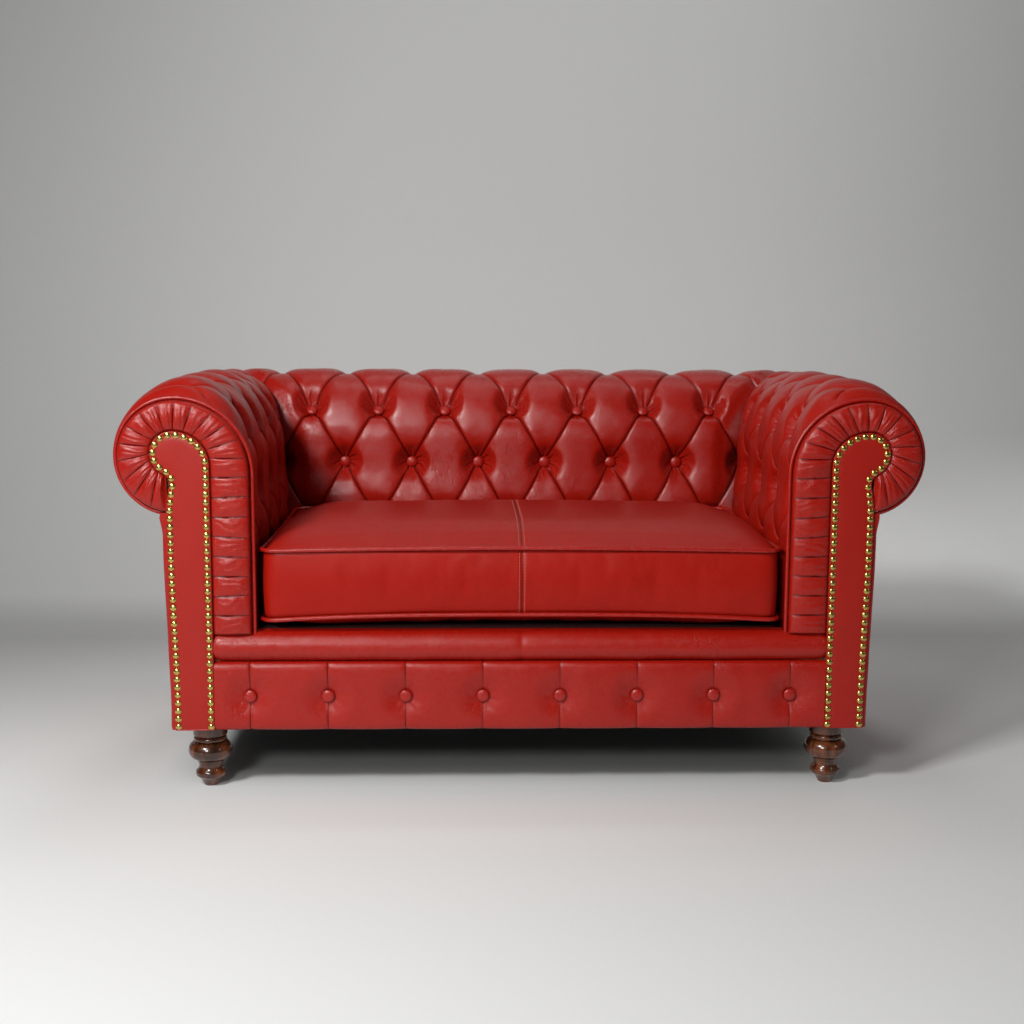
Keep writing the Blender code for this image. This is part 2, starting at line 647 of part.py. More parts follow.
def border_button(number):
    """Covered button: a short shank in the seam and a low dome over it."""
    x = (number - (BORDER_BUTTONS + 1) / 2) * BUTTON_PITCH
    seat = BORDER_PUFF * 0.62
    profile = [(0.0, seat + BUTTON_DOME)]
    for turn in spread(0, math.pi / 2, 5)[1:]:
        profile.append((BUTTON_RADIUS * math.sin(turn), seat + BUTTON_DOME * math.cos(turn)))
    profile += [(BUTTON_RADIUS * 0.9, seat - 0.0008), (BUTTON_SHANK, seat - 0.0012)]
    profile += [(BUTTON_SHANK, 0.0), (0.0, 0.0)]
    item = turned("border_button_%d" % number, profile, 14, LEATHER, 0.34)
    item.location = (x, border_front(x, BUTTON_Z) - FIT_GAP, BUTTON_Z)
    item.rotation_euler.x = math.pi / 2


def outside_panels():
    """Flat leather panels under the rolls, outside both arms and behind the back."""
    top = TUCK_Z - FIT_GAP
    rear = BACK_FACE_Y + OUTSIDE_OUT
    for label, side in SIDES:
        x_span = (side * (SEAT_HALF + OUTSIDE_IN + FIT_GAP), side * (SEAT_HALF + OUTSIDE_OUT))
        box(
            label + "_outside_panel", sorted(x_span), (PLEATED_FRONT, rear), (FRAME_Z, top),
            LEATHER, 0.4, round_edge=0.0015,
        )
    half = SEAT_HALF + OUTSIDE_IN
    box(
        "outside_back_panel", (-half, half), (rear - OUTSIDE_THICK + FIT_GAP, rear),
        (FRAME_Z, top), LEATHER, 0.4, round_edge=0.0015,
    )


# Hardwood frame and seat
def arm_board(label, side):
    """Scroll-shaped board at the front of an arm, which carries the facing and the front rail."""
    points = [(0.0 - EDGE_LIFT, FRAME_Z)]
    for v in [STRAIGHT_TOP] + spread(STRAIGHT_TOP, END_V, 19)[1:]:
        points.append(profile_point(v, EDGE_LIFT))
    points.append((OUTSIDE_IN, points[-1][1]))
    points.append((OUTSIDE_IN, FRAME_Z))
    outline = [(side * (SEAT_HALF + depth), z) for depth, z in points]
    plate(label + "_arm_board", outline, (BOARD_FRONT, BOARD_BACK), TIMBER, 0.7)


def timber_frame():
    """Seat rails, posts and top rails."""
    rails = (FRAME_Z, RAIL_TOP)
    board_inside = SEAT_HALF - EDGE_LIFT - FIT_GAP
    box("front_rail", (-board_inside, board_inside), (BOARD_FRONT, FRONT_RAIL_BACK), rails, TIMBER, 0.7)
    rear_half = SEAT_HALF + TOP_RAIL_IN - FIT_GAP
    rear_span = (POST_FRONT, POST_FRONT + REAR_RAIL_THICK)
    box("rear_rail", (-rear_half, rear_half), rear_span, rails, TIMBER, 0.7)
    top_z = (TOP_RAIL_Z, TOP_RAIL_Z + TOP_RAIL_HEIGHT)
    top_half = SEAT_HALF + TOP_RAIL_OUT
    top_span = (POST_FRONT, POST_FRONT + TOP_RAIL_THICK)
    box("back_rail", (-top_half, top_half), top_span, top_z, TIMBER, 0.7)
    post_z = (RAIL_TOP + FIT_GAP, TOP_RAIL_Z - FIT_GAP)
    centre = CENTRE_POST_WIDTH / 2
    box("back_centre_post", (-centre, centre), rear_span, post_z, TIMBER, 0.7)
    for label, side in SIDES:
        rail_in = SEAT_HALF + SIDE_RAIL_IN
        x_span = sorted((side * rail_in, side * (rail_in + SIDE_RAIL_THICK)))
        y_span = (BOARD_BACK + FIT_GAP, POST_FRONT - FIT_GAP)
        box(label + "_side_rail", x_span, y_span, rails, TIMBER, 0.7)
        x_span = sorted((side * (SEAT_HALF + TOP_RAIL_IN), side * (SEAT_HALF + TOP_RAIL_OUT)))
        box(label + "_arm_rail", x_span, y_span, top_z, TIMBER, 0.7)
        post_x = sorted((side * (SEAT_HALF + TOP_RAIL_IN), side * (SEAT_HALF + TOP_RAIL_IN + POST_THICK)))
        post_y = (POST_FRONT, POST_FRONT + POST_THICK)
        box(label + "_rear_post", post_x, post_y, (FRAME_Z, TOP_RAIL_Z - FIT_GAP), TIMBER, 0.7)
        arm_board(label, side)


def seat_springs():
    """Sinuous springs from the front rail to the rear rail, with straight tails on both."""
    span = 2 * (SEAT_HALF + SIDE_RAIL_IN - SPRING_SWING)
    front = LIP_BACK + SPRING_WIRE
    rear = POST_FRONT + REAR_RAIL_THICK / 2
    bend_front = FRONT_RAIL_BACK + SPRING_TAIL
    bend_rear = POST_FRONT - SPRING_TAIL
    pitch = (bend_rear - bend_front) / (SPRING_BENDS - 1)
    for number in range(1, SPRINGS + 1):
        centre = (number - (SPRINGS + 1) / 2) * span / SPRINGS
        points = [(centre, front, SPRING_Z), (centre, bend_front - SPRING_TAIL / 2, SPRING_Z)]
        for i in range(SPRING_BENDS):
            side = 1 if i % 2 else -1
            y = bend_front + i * pitch
            points.append((centre + side * SPRING_SWING, y, SPRING_Z))
            if i < SPRING_BENDS - 1:
                points.append((centre + side * SPRING_SWING, y + pitch * 0.4, SPRING_Z))
        points += [(centre, bend_rear + SPRING_TAIL / 2, SPRING_Z), (centre, rear, SPRING_Z)]
        tube("seat_spring_%d" % number, points, SPRING_WIRE, STEEL, 0.4, 1.0, bevels=1)


def linings():
    """Hessian over the springs and behind the padding, and the pad of the deck."""
    wide = SEAT_HALF + SIDE_RAIL_IN + HESSIAN_LAP
    seat_y = (LIP_BACK + FIT_GAP, POST_FRONT - FIT_GAP)
    seat_z = (HESSIAN_Z, HESSIAN_Z + HESSIAN_THICK)
    box("seat_hessian", (-wide, wide), seat_y, seat_z, JUTE, 0.9, round_edge=0)
    half = SEAT_HALF - DECK_GAP
    deck_y = (LIP_BACK + FIT_GAP, BACK_FACE_Y - DECK_GAP)
    box("deck_pad", (-half, half), deck_y, (PAD_Z, DECK_TOP_Z), BLACK_CLOTH, 0.9, round_edge=0.004)
    upright = (PAD_Z, TOP_RAIL_Z + TOP_RAIL_HEIGHT)
    outer = LINING_IN + HESSIAN_THICK
    back_y = (BACK_FACE_Y + LINING_IN, BACK_FACE_Y + outer)
    box("back_hessian", (-SEAT_HALF - outer, SEAT_HALF + outer), back_y, upright, JUTE, 0.9, round_edge=0)
    for label, side in SIDES:
        x_span = sorted((side * (SEAT_HALF + LINING_IN), side * (SEAT_HALF + outer)))
        y_span = (ARM_PAD_FRONT, back_y[0] - FIT_GAP)
        box(label + "_arm_hessian", x_span, y_span, upright, JUTE, 0.9, round_edge=0)


def corner_turn(x):
    """Angle round the cushion's corner at this x: 0 on the straight front, a right angle at the end."""
    over = (abs(x) - CUSHION_HALF + CUSHION_CORNER) / CUSHION_CORNER
    return math.asin(min(max(over, 0.0), 1.0))


def cushion_section(x):
    """Closed (y, z) ring of the cushion at x, from the bottom front seam round."""
    rounding = CUSHION_CORNER * (1 - math.cos(corner_turn(x)))
    share = min(abs(x) / CUSHION_HALF, 1.0)
    front = CUSHION_FRONT_Y + CUSHION_DRAW_IN * (1 - share ** 2) + rounding
    rear = CUSHION_BACK_Y - rounding
    length = rear - front
    top = SEAM_TOP_Z + SEAM_RISE * (1 - share ** 2)
    crown = CUSHION_CROWN * math.sqrt(1 - share ** 6)
    sag = CUSHION_SEAM_LOW * math.sqrt(1 - share ** 8)
    channel = CUSHION_CHANNEL if x == 0.0 else 0.0
    flat = ZIP_WIDTH / 2 + 0.001
    middle = (SEAM_LOW_Z + SEAM_TOP_Z) / 2
    bulge = front - CUSHION_BULGE + channel
    ring = [(front, SEAM_LOW_Z), (bulge, middle - flat), (bulge, middle + flat), (front, top)]
    for part in (0.03, 0.09, 0.22, 0.5, 0.78, 0.91, 0.97):
        seam = top + (SEAM_TOP_Z - top) * part
        rise = crown * (1 - abs(2 * part - 1) ** 4) ** 0.6
        ring.append((front + length * part, seam + rise - channel))
    ring += [(rear, SEAM_TOP_Z), (rear + CUSHION_BULGE, middle + flat)]
    ring += [(rear + CUSHION_BULGE, middle - flat), (rear, SEAM_LOW_Z)]
    for part in (0.97, 0.91, 0.5, 0.09, 0.03):
        fall = (1 - abs(2 * part - 1) ** 6) ** 0.6
        ring.append((front + length * part, SEAM_LOW_Z - sag * min(1.0, 1.35 * fall)))
    return ring


def cushion_stations():
    """x places of the cushion's sections, closer at the rounded corners and the middle seam."""
    straight = CUSHION_HALF - CUSHION_CORNER
    half = [0.0, CUSHION_CHANNEL * 3, straight * 0.25, straight * 0.5, straight * 0.75, straight * 0.92]
    half += [straight + CUSHION_CORNER * math.sin(turn) for turn in spread(0, math.pi / 2, 5)]
    return [-x for x in reversed(half[1:])] + half


def seat_cushion():
    """Loose bench cushion with a crown, boxed sides and a stitched middle seam."""
    rings = [[(x, y, z) for y, z in cushion_section(x)] for x in cushion_stations()]
    centre_y = (CUSHION_FRONT_Y + CUSHION_BACK_Y) / 2
    middle = (SEAM_LOW_Z + SEAM_TOP_Z) / 2
    end = []
    for y, z in cushion_section(CUSHION_HALF):
        end.append((centre_y + (y - centre_y) * 0.93, middle + (z - middle) * 0.35))
    for side, place in ((-1, 0), (1, len(rings) + 1)):
        rings.insert(place, [(side * (CUSHION_HALF + CUSHION_SIDE_BULGE), y, z) for y, z in end])
    mesh_object("seat_cushion", loft(rings), LEATHER, 0.35, sharp_deg=55)


def cushion_piping(name, on_top):
    """Piping in one seam of the cushion, a closed loop."""
    lean = math.radians(SEAM_LEAN_DEG)
    reach = (SEAM_PIPING + SEAM_ROOM) * math.cos(lean)
    up = (SEAM_PIPING + SEAM_ROOM) * math.sin(lean) * (1 if on_top else -1)
    front, rear = [], []
    for x in cushion_stations():
        ring = cushion_section(x)
        turn = corner_turn(x)
        out_x = math.copysign(reach * math.sin(turn), x)
        out_y = reach * math.cos(turn)
        front_y, front_z = ring[3] if on_top else ring[0]
        rear_y, rear_z = ring[11] if on_top else ring[14]
        front.append((x + out_x, front_y - out_y, front_z + up))
        rear.append((x + out_x, rear_y + out_y, rear_z + up))
    tube(name, front + rear[::-1], SEAM_PIPING, DARK_LEATHER, 0.38, closed=True)


def cushion_zip():
    """Zip in the rear boxing, and its slider at the closed end."""
    face = CUSHION_BACK_Y + CUSHION_BULGE + FIT_GAP
    middle = (SEAM_LOW_Z + SEAM_TOP_Z) / 2
    half = ZIP_WIDTH / 2
    chain = CHAIN_WIDTH / 2
    chain_face = ZIP_THICK + CHAIN_THICK
    lower = [(0.0, -half), (ZIP_THICK, -half), (ZIP_THICK, -chain), (chain_face, -chain)]
    outline = lower + [(depth, -z) for depth, z in reversed(lower)]
    ends = (-ZIP_LENGTH / 2, ZIP_LENGTH / 2)
    rings = [[(x, face + depth, middle + z) for depth, z in outline] for x in ends]
    mesh_object("cushion_zip", loft(rings), BRASS, 0.4, 0.6)
    start = face + chain_face + FIT_GAP
    body = start + SLIDER_THICK
    wide = SLIDER_WIDTH / 2
    foot = -wide - SLIDER_PULL
    outline = [(start, wide), (start, -wide), (body, -wide), (body, foot)]
    outline += [(body + PULL_THICK, foot), (body + PULL_THICK, wide)]
    ends = (ZIP_LENGTH / 2 - SLIDER_LENGTH, ZIP_LENGTH / 2)
    rings = [[(x, y, middle + z) for y, z in outline] for x in ends]
    mesh_object("zip_slider", loft(rings), BRASS, 0.3, 1.0)


# Legs and underside
def bead(sizes, count):
    """(radius, height) points of a half-round bead, from its top to its bottom."""
    low, high, neck, reach = (LEG_HEIGHT * share for share in sizes)
    points = []
    for turn in spread(0, math.pi, count):
        height = (high + low) / 2 + (high - low) / 2 * math.cos(turn)
        points.append((neck + (reach - neck) * math.sin(turn), height))
    return points


def leg_points(shares):
    """(radius, height) points from shares of the leg's height."""
    return [(LEG_HEIGHT * radius, LEG_HEIGHT * height) for radius, height in shares]


def front_leg(label, side):
    """Turned leg: plate, collar, bun, fillet, ring and a tapered foot."""
    profile = [(0.0, LEG_HEIGHT), (LEG_PLATE, LEG_HEIGHT), (LEG_PLATE, LEG_HEIGHT * LEG_PLATE_FROM)]
    profile += bead(LEG_COLLAR, 5) + bead(LEG_BUN, 11) + bead(LEG_FILLET, 4)
    profile += leg_points(LEG_WAIST) + bead(LEG_RING, 6)
    profile += leg_points(LEG_FOOT) + [(0.0, 0.0)]
    item = turned(label + "_front_leg", profile, 22, WALNUT, 0.25)
    item.location = (side * SIDE_RAIL_MID, FRONT_LEG_Y, 0.0)


def rear_leg(label, side):
    """Plain square leg that tapers to the floor."""
    bm = bmesh.new()
    bmesh.ops.create_cone(
        bm, cap_ends=True, segments=4,
        radius1=REAR_LEG_FOOT / math.sqrt(2), radius2=REAR_LEG_TOP / math.sqrt(2), depth=LEG_HEIGHT,
    )
    bmesh.ops.rotate(bm, verts=bm.verts, matrix=Matrix.Rotation(math.pi / 4, 3, "Z"))
    item = mesh_object(label + "_rear_leg", bm, WALNUT, 0.3)
    item.location = (side * SIDE_RAIL_MID, REAR_LEG_Y, LEG_HEIGHT / 2)
    edge = item.modifiers.new("soft_edges", "BEVEL")
    edge.width = TIMBER_ROUND
    edge.segments = 1


def dust_cover():
    """Cloth under the frame, cut away round the four legs."""
    half = SEAT_HALF + OUTSIDE_IN - COVER_INSET
    front, rear = BOARD_FRONT + COVER_INSET, POST_FRONT + POST_THICK - COVER_INSET
    inner = SIDE_RAIL_MID - LEG_PLATE - COVER_NOTCH
    front_in = FRONT_LEG_Y + LEG_PLATE + COVER_NOTCH
    rear_in = REAR_LEG_Y - REAR_LEG_TOP / 2 - COVER_NOTCH
    quarter = [(inner, front), (inner, front_in), (half, front_in)]
    quarter += [(half, rear_in), (inner, rear_in), (inner, rear)]
    outline = quarter + [(-x, y) for x, y in reversed(quarter)]
    curve = bpy.data.curves.new("dust_cover", "CURVE")
    curve.dimensions = "2D"
    curve.fill_mode = "BOTH"
    spline = curve.splines.new("POLY")
    spline.points.add(len(outline) - 1)
    for point, (x, y) in zip(spline.points, outline):
        point.co = (x, y, 0.0, 1.0)
    spline.use_cyclic_u = True
    curve.extrude = COVER_THICK / 2
    item = add_object("dust_cover", curve, BLACK_CLOTH, 0.95)
    item.location.z = FRAME_Z - FIT_GAP - COVER_THICK / 2


def main():
    """Builds every piece of the sofa."""
    back_pad()
    lip_roll()
    front_border()
    for number in range(1, BORDER_BUTTONS + 1):
        border_button(number)
    for label, side in SIDES:
        arm_pad(label, side)
        scroll_facing(label, side)
        pleated_border(label, side)
        arm_piping(label, side)
        front_leg(label, side)
        rear_leg(label, side)
    outside_panels()
    timber_frame()
    seat_springs()
    linings()
    seat_cushion()
    cushion_piping("cushion_top_piping", True)
    cushion_piping("cushion_bottom_piping", False)
    cushion_zip()
    dust_cover()


clear_scene()
SOFA = bpy.data.collections.new("two_seater_sofa")
bpy.context.scene.collection.children.link(SOFA)
main()
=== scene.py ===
"""Two-seater sofa in red leather: the visible upholstery, trim and studio round its solid parts.

Frame: metres, +Z up, +X to the right, the front faces -Y. The origin is on the floor under the
middle of the sofa. A place on the padding is given by its arc length v along the shared profile and
by its lift off it; a profile point is (depth behind the inside face, height).
"""
import sys
import json
import logging
import math
from collections.abc import Sequence
from dataclasses import dataclass
from enum import Enum

import bmesh
import bpy
import numpy as np
from bpy.types import ID, Material, Mesh, Node, NodeSocket, Object
from mathutils import Matrix, Vector
from mathutils.bvhtree import BVHTree
from mathutils.kdtree import KDTree


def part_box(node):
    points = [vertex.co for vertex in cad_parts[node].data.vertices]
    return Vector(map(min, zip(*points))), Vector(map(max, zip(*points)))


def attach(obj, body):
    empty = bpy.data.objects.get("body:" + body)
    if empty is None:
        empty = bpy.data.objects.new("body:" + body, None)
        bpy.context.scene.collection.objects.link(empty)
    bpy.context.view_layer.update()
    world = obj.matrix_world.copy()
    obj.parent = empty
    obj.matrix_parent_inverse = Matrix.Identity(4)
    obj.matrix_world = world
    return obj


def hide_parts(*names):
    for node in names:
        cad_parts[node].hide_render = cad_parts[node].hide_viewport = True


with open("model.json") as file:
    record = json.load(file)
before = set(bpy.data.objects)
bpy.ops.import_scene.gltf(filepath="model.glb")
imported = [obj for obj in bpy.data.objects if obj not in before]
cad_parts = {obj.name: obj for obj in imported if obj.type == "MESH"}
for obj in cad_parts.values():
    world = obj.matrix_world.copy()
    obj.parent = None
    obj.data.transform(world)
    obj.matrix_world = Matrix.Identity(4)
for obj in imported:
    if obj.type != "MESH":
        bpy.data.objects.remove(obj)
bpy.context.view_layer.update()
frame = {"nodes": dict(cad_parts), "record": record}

LOG = logging.getLogger("sofa")

Array = np.ndarray
Colour = tuple[float, float, float]
Point = tuple[float, float, float]
Span = tuple[float, float]


class Side(Enum):
    """The two arms."""

    LEFT = -1
    RIGHT = 1

    @property
    def label(self) -> str:
        """The side's word in the names of nodes."""
        return self.name.lower()


class Body(Enum):
    """The bodies that the pieces ride on."""

    SOFA = "sofa"
    CUSHION = "cushion"


# Shader graphs
class Value:
    """One shader socket. Arithmetic on it adds Math nodes."""

    def __init__(self, graph: "Graph", socket: NodeSocket) -> None:
        """Wraps a socket of the graph."""
        self.graph = graph
        self.socket = socket

    def __add__(self, other: object) -> "Value":
        """self + other."""
        return self.graph.math("ADD", self, other)

    __radd__ = __add__

    def __sub__(self, other: object) -> "Value":
        """self - other."""
        return self.graph.math("SUBTRACT", self, other)

    def __rsub__(self, other: object) -> "Value":
        """other - self."""
        return self.graph.math("SUBTRACT", other, self)

    def __mul__(self, other: object) -> "Value":
        """self * other."""
        return self.graph.math("MULTIPLY", self, other)

    __rmul__ = __mul__

    def __pow__(self, other: object) -> "Value":
        """self to the power other."""
        return self.graph.math("POWER", self, other)

    def __abs__(self) -> "Value":
        """Size without sign."""
        return self.graph.math("ABSOLUTE", self)

    def above(self, low: float, high: float) -> "Value":
        """A smooth rise from 0 at low to 1 at high.

        Args:
            low: Where the rise starts.
            high: Where it ends; below low, the result falls instead.

        Returns:
            The smoothed value.
        """
        if low > high:
            return 1.0 - self.above(high, low)
        settings = {"interpolation_type": "SMOOTHSTEP"}
        inputs = {"Value": self, "From Min": low, "From Max": high}
        return self.graph.node("ShaderNodeMapRange", settings, inputs)["Result"]


class Outputs:
    """The output sockets of one node, by name."""

    def __init__(self, graph: "Graph", node: Node) -> None:
        """Wraps a node of the graph."""
        self.graph = graph
        self.node = node

    def __getitem__(self, name: str | int) -> Value:
        """One output as a Value."""
        return Value(self.graph, self.node.outputs[name])


class Graph:
    """A material's node graph under construction."""

    def __init__(self, name: str) -> None:
        """Makes an empty material with a Principled shader."""
        self.material = bpy.data.materials.new(name)
        self.material.use_nodes = True
        self.tree = self.material.node_tree
        self.shader = self.tree.nodes["Principled BSDF"]

    def node(self, kind: str, settings: dict | None = None, inputs: dict | None = None) -> Outputs:
        """Adds a node.

        Args:
            kind: The node's type.
            settings: Its properties, set first; "stops" are a colour ramp's.
            inputs: Values or links of its sockets, by name or index.

        Returns:
            The node's outputs.
        """
        made = self.tree.nodes.new(kind)
        for key, setting in (settings or {}).items():
            if key != "stops":
                setattr(made, key, setting)
                continue
            ramp = made.color_ramp.elements
            while len(ramp) < len(setting):
                ramp.new(0.5)
            for stop, (place, colour) in zip(ramp, setting):
                stop.position = place
                stop.color = (*colour, 1.0)
        for key, given in (inputs or {}).items():
            self.feed(made.inputs[key], given)
        return Outputs(self, made)

    def feed(self, socket: NodeSocket, given: object) -> None:
        """Links a Value to a socket, or sets the socket's own value."""
        if isinstance(given, Value):
            self.tree.links.new(given.socket, socket)
        elif isinstance(given, tuple) and socket.type == "RGBA":
            socket.default_value = (*given, 1.0)
        else:
            socket.default_value = given

    def math(self, operation: str, *terms: object) -> Value:
        """One Math node on up to three terms."""
        inputs = dict(enumerate(terms))
        return self.node("ShaderNodeMath", {"operation": operation}, inputs)["Value"]

    def blend(self, share: object, first: object, second: object) -> Value:
        """A colour between first and second."""
        inputs = {0: share, 6: first, 7: second}
        return self.node("ShaderNodeMix", {"data_type": "RGBA"}, inputs)[2]

    def place(self, stretch: Point = (1.0, 1.0, 1.0)) -> Value:
        """Object coordinates, scaled along each axis."""
        found = self.node("ShaderNodeTexCoord")["Object"]
        if stretch == (1.0, 1.0, 1.0):
            return found
        return self.node("ShaderNodeMapping", None, {"Vector": found, "Scale": stretch})["Vector"]

    def noise(self, place: Value, scale: float, detail: float = 3.0, twist: float = 0.0) -> Value:
        """Noise between 0 and 1."""
        inputs = {"Vector": place, "Scale": scale, "Detail": detail, "Distortion": twist}
        return self.node("ShaderNodeTexNoise", None, inputs)[0]

    def cells(self, place: Value, scale: float) -> Value:
        """Distance to the nearest edge of a Voronoi pattern."""
        inputs = {"Vector": place, "Scale": scale}
        return self.node("ShaderNodeTexVoronoi", {"feature": "DISTANCE_TO_EDGE"}, inputs)["Distance"]

    def attribute(self, name: str, part: str = "Fac") -> Value:
        """A value that the mesh carries."""
        return self.node("ShaderNodeAttribute", {"attribute_name": name})[part]

    def parts(self, vector: Value) -> Outputs:
        """A vector's X, Y and Z."""
        return self.node("ShaderNodeSeparateXYZ", None, {0: vector})

    def relief(self, height: Value, strength: float) -> Value:
        """A bumped normal from a height in metres."""
        inputs = {"Height": height, "Distance": 1.0, "Strength": strength}
        return self.node("ShaderNodeBump", None, inputs)["Normal"]

    def dress(self, **sockets: object) -> Material:
        """Sets the shader's sockets, with _ for a space, and returns the material."""
        for key, given in sockets.items():
            self.feed(self.shader.inputs[key.replace("_", " ")], given)
        return self.material

    def one_sided(self) -> None:
        """Lets the camera look through the surface from behind."""
        seen = self.node("ShaderNodeLightPath")["Is Camera Ray"]
        behind = self.node("ShaderNodeNewGeometry")["Backfacing"]
        solid = Outputs(self, self.shader)["BSDF"]
        clear = self.node("ShaderNodeBsdfTransparent")["BSDF"]
        mixed = self.node("ShaderNodeMixShader", None, {0: seen * behind, 1: solid, 2: clear})["Shader"]
        self.feed(self.tree.nodes["Material Output"].inputs["Surface"], mixed)


# Finishes
@dataclass(frozen=True)
class Leather:
    """Semi-gloss hide: pebbled grain, fine creases, and painted shade in its folds, creases and seams."""

    name: str = "red_leather"
    colour: Colour = (0.345, 0.0075, 0.0026)
    # deep: dark red of the painted shade in folds, creases and seams
    deep: Colour = (0.045, 0.0010, 0.0005)
    pale: Colour = (0.380, 0.0105, 0.0045)
    roughness: float = 0.235
    grain: float = 0.00011
    wrinkle: float = 0.00038
    cell: float = 560.0
    mirror: float = 0.52
    coat: float = 0.05
    coat_roughness: float = 0.18
    seam: bool = False
    seam_line: Span = (0.0016, 0.0004)
    seam_hollow: Span = (0.0090, 0.0)
    seam_depth: float = 0.0022
    puckered: bool = False
    pucker_folds: tuple = ((13.0, 1.0, 0.0022), (6.0, 0.6, 0.0032))

    def material(self) -> Material:
        """Builds the material."""
        g = Graph(self.name)
        place = g.place()
        crease = g.attribute("crease")
        cloudy = g.noise(place, scale=7.0, detail=4.0, twist=0.6)
        fine = g.noise(place, scale=90.0)
        pebbles = g.cells(place, self.cell).above(0.0, 0.22)
        lines = 1.0 - abs(g.noise(g.place((1.0, 1.0, 0.7)), scale=38.0, twist=0.5) * 2.0 - 1.0)
        folds = (lines ** 16.0) * g.noise(place, scale=9.0, detail=2.0).above(0.46, 0.66)
        tone = g.blend(cloudy.above(0.35, 0.75) * 0.5, self.colour, self.pale)
        # Painted shade: the tone is drawn towards the dark red where the mesh marks folds, creases and seams,
        # and along the fine wrinkle lines.
        tone = g.blend(crease.above(0.05, 1.0) * 0.85 + folds * 0.10, tone, self.deep)
        height = pebbles * self.grain + fine * (self.grain * 1.6) - folds * self.wrinkle
        if self.puckered:
            height = height + self._puckers(g)
        if self.seam:
            across = abs(g.parts(place)["X"])
            # Painted shade: a thin dark line along the middle seam, where its groove lies.
            tone = g.blend(across.above(*self.seam_line) * 0.9, tone, self.deep)
            height = height - across.above(*self.seam_hollow) * self.seam_depth
        rough = self.roughness + (fine - 0.5) * 0.16 + crease * 0.14 + (1.0 - pebbles) * 0.05
        return g.dress(
            Base_Color=tone,
            Roughness=rough,
            Normal=g.relief(height, 0.85),
            Coat_Weight=self.coat,
            Coat_Roughness=self.coat_roughness,
            Specular_IOR_Level=self.mirror,
        )

    def _puckers(self, g: Graph) -> Value:
        """Height of the small folds, fine and broad, that run out from the nearest button."""
        away = g.parts(g.attribute("pucker", "Vector"))
        angle = g.math("ARCTAN2", away["Y"], away["X"])
        stray = g.noise(g.place(), scale=34.0, detail=2.0) * 9.0
        folds = []
        for count, wander, depth in self.pucker_folds:
            wave = g.math("SINE", angle * count + stray * wander) * 0.5 + 0.5
            folds.append((wave ** 2.0) * depth)
        return sum(folds) * away["Z"]


@dataclass(frozen=True)
class Hardwood:
    """Dark polished hardwood with grain along Z."""

    name: str = "polished_walnut"
    colour: Colour = (0.170, 0.043, 0.011)
    dark: Colour = (0.024, 0.007, 0.003)
    roughness: float = 0.20
    coat: float = 0.7

    def material(self) -> Material:
        """Builds the material."""
        g = Graph(self.name)
        fibres = g.noise(g.place((1.0, 1.0, 0.06)), scale=160.0, detail=6.0, twist=0.4)
        figure = g.noise(g.place((1.0, 1.0, 0.22)), scale=22.0, twist=2.0)
        tone = g.blend(figure.above(0.3, 0.7), self.dark, self.colour)
        tone = g.blend(fibres.above(0.45, 0.7) * 0.5, tone, self.dark)
        return g.dress(
            Base_Color=tone,
            Roughness=self.roughness + fibres * 0.10,
            Normal=g.relief(fibres * 0.00006, 0.6),
            Coat_Weight=self.coat,
            Coat_Roughness=0.07,
        )


@dataclass(frozen=True)
class Metal:
    """Metal with a patina in patches."""

    name: str
    colour: Colour
    dark: Colour
    roughness: float
    patch: float = 140.0

    def material(self) -> Material:
        """Builds the material."""
        g = Graph(self.name)
        cloud = g.noise(g.place(), self.patch, twist=0.3)
        tone = g.blend(cloud.above(0.48, 0.72), self.colour, self.dark)
        return g.dress(
            Base_Color=tone,
            Metallic=1.0,
            Roughness=self.roughness + (cloud - 0.5) * 0.22,
            Normal=g.relief(cloud * 0.00012, 0.5),
        )


@dataclass(frozen=True)
class Cloth:
    """Plain weave: threads over and under along two axes."""

    name: str
    colour: Colour
    dark: Colour
    pitch: float
    roughness: float = 0.92

    def material(self) -> Material:
        """Builds the material."""
        g = Graph(self.name)
        parts = g.parts(g.place())
        turn = math.tau / self.pitch
        warp = g.math("SINE", (parts["X"] + parts["Z"]) * turn)
        weft = g.math("SINE", (parts["Y"] + parts["Z"] * 0.37) * turn)
        weave = (warp * weft) * 0.5 + 0.5
        slub = g.noise(g.place(), scale=60.0)
        tone = g.blend(weave * 0.6 + slub * 0.3, self.dark, self.colour)
        return g.dress(
            Base_Color=tone,
            Roughness=self.roughness - slub * 0.08,
            Normal=g.relief(weave * (self.pitch * 0.12), 0.7),
        )


@dataclass(frozen=True)
class Thread:
    """Twisted sewing thread."""

    name: str = "pale_thread"
    colour: Colour = (0.600, 0.200, 0.160)

    def material(self) -> Material:
        """Builds the material."""
        g = Graph(self.name)
        ply = g.noise(g.place(), scale=900.0, detail=1.0)
        tone = g.blend(ply * 0.5, self.colour, tuple(0.6 * part for part in self.colour))
        return g.dress(Base_Color=tone, Roughness=0.62)


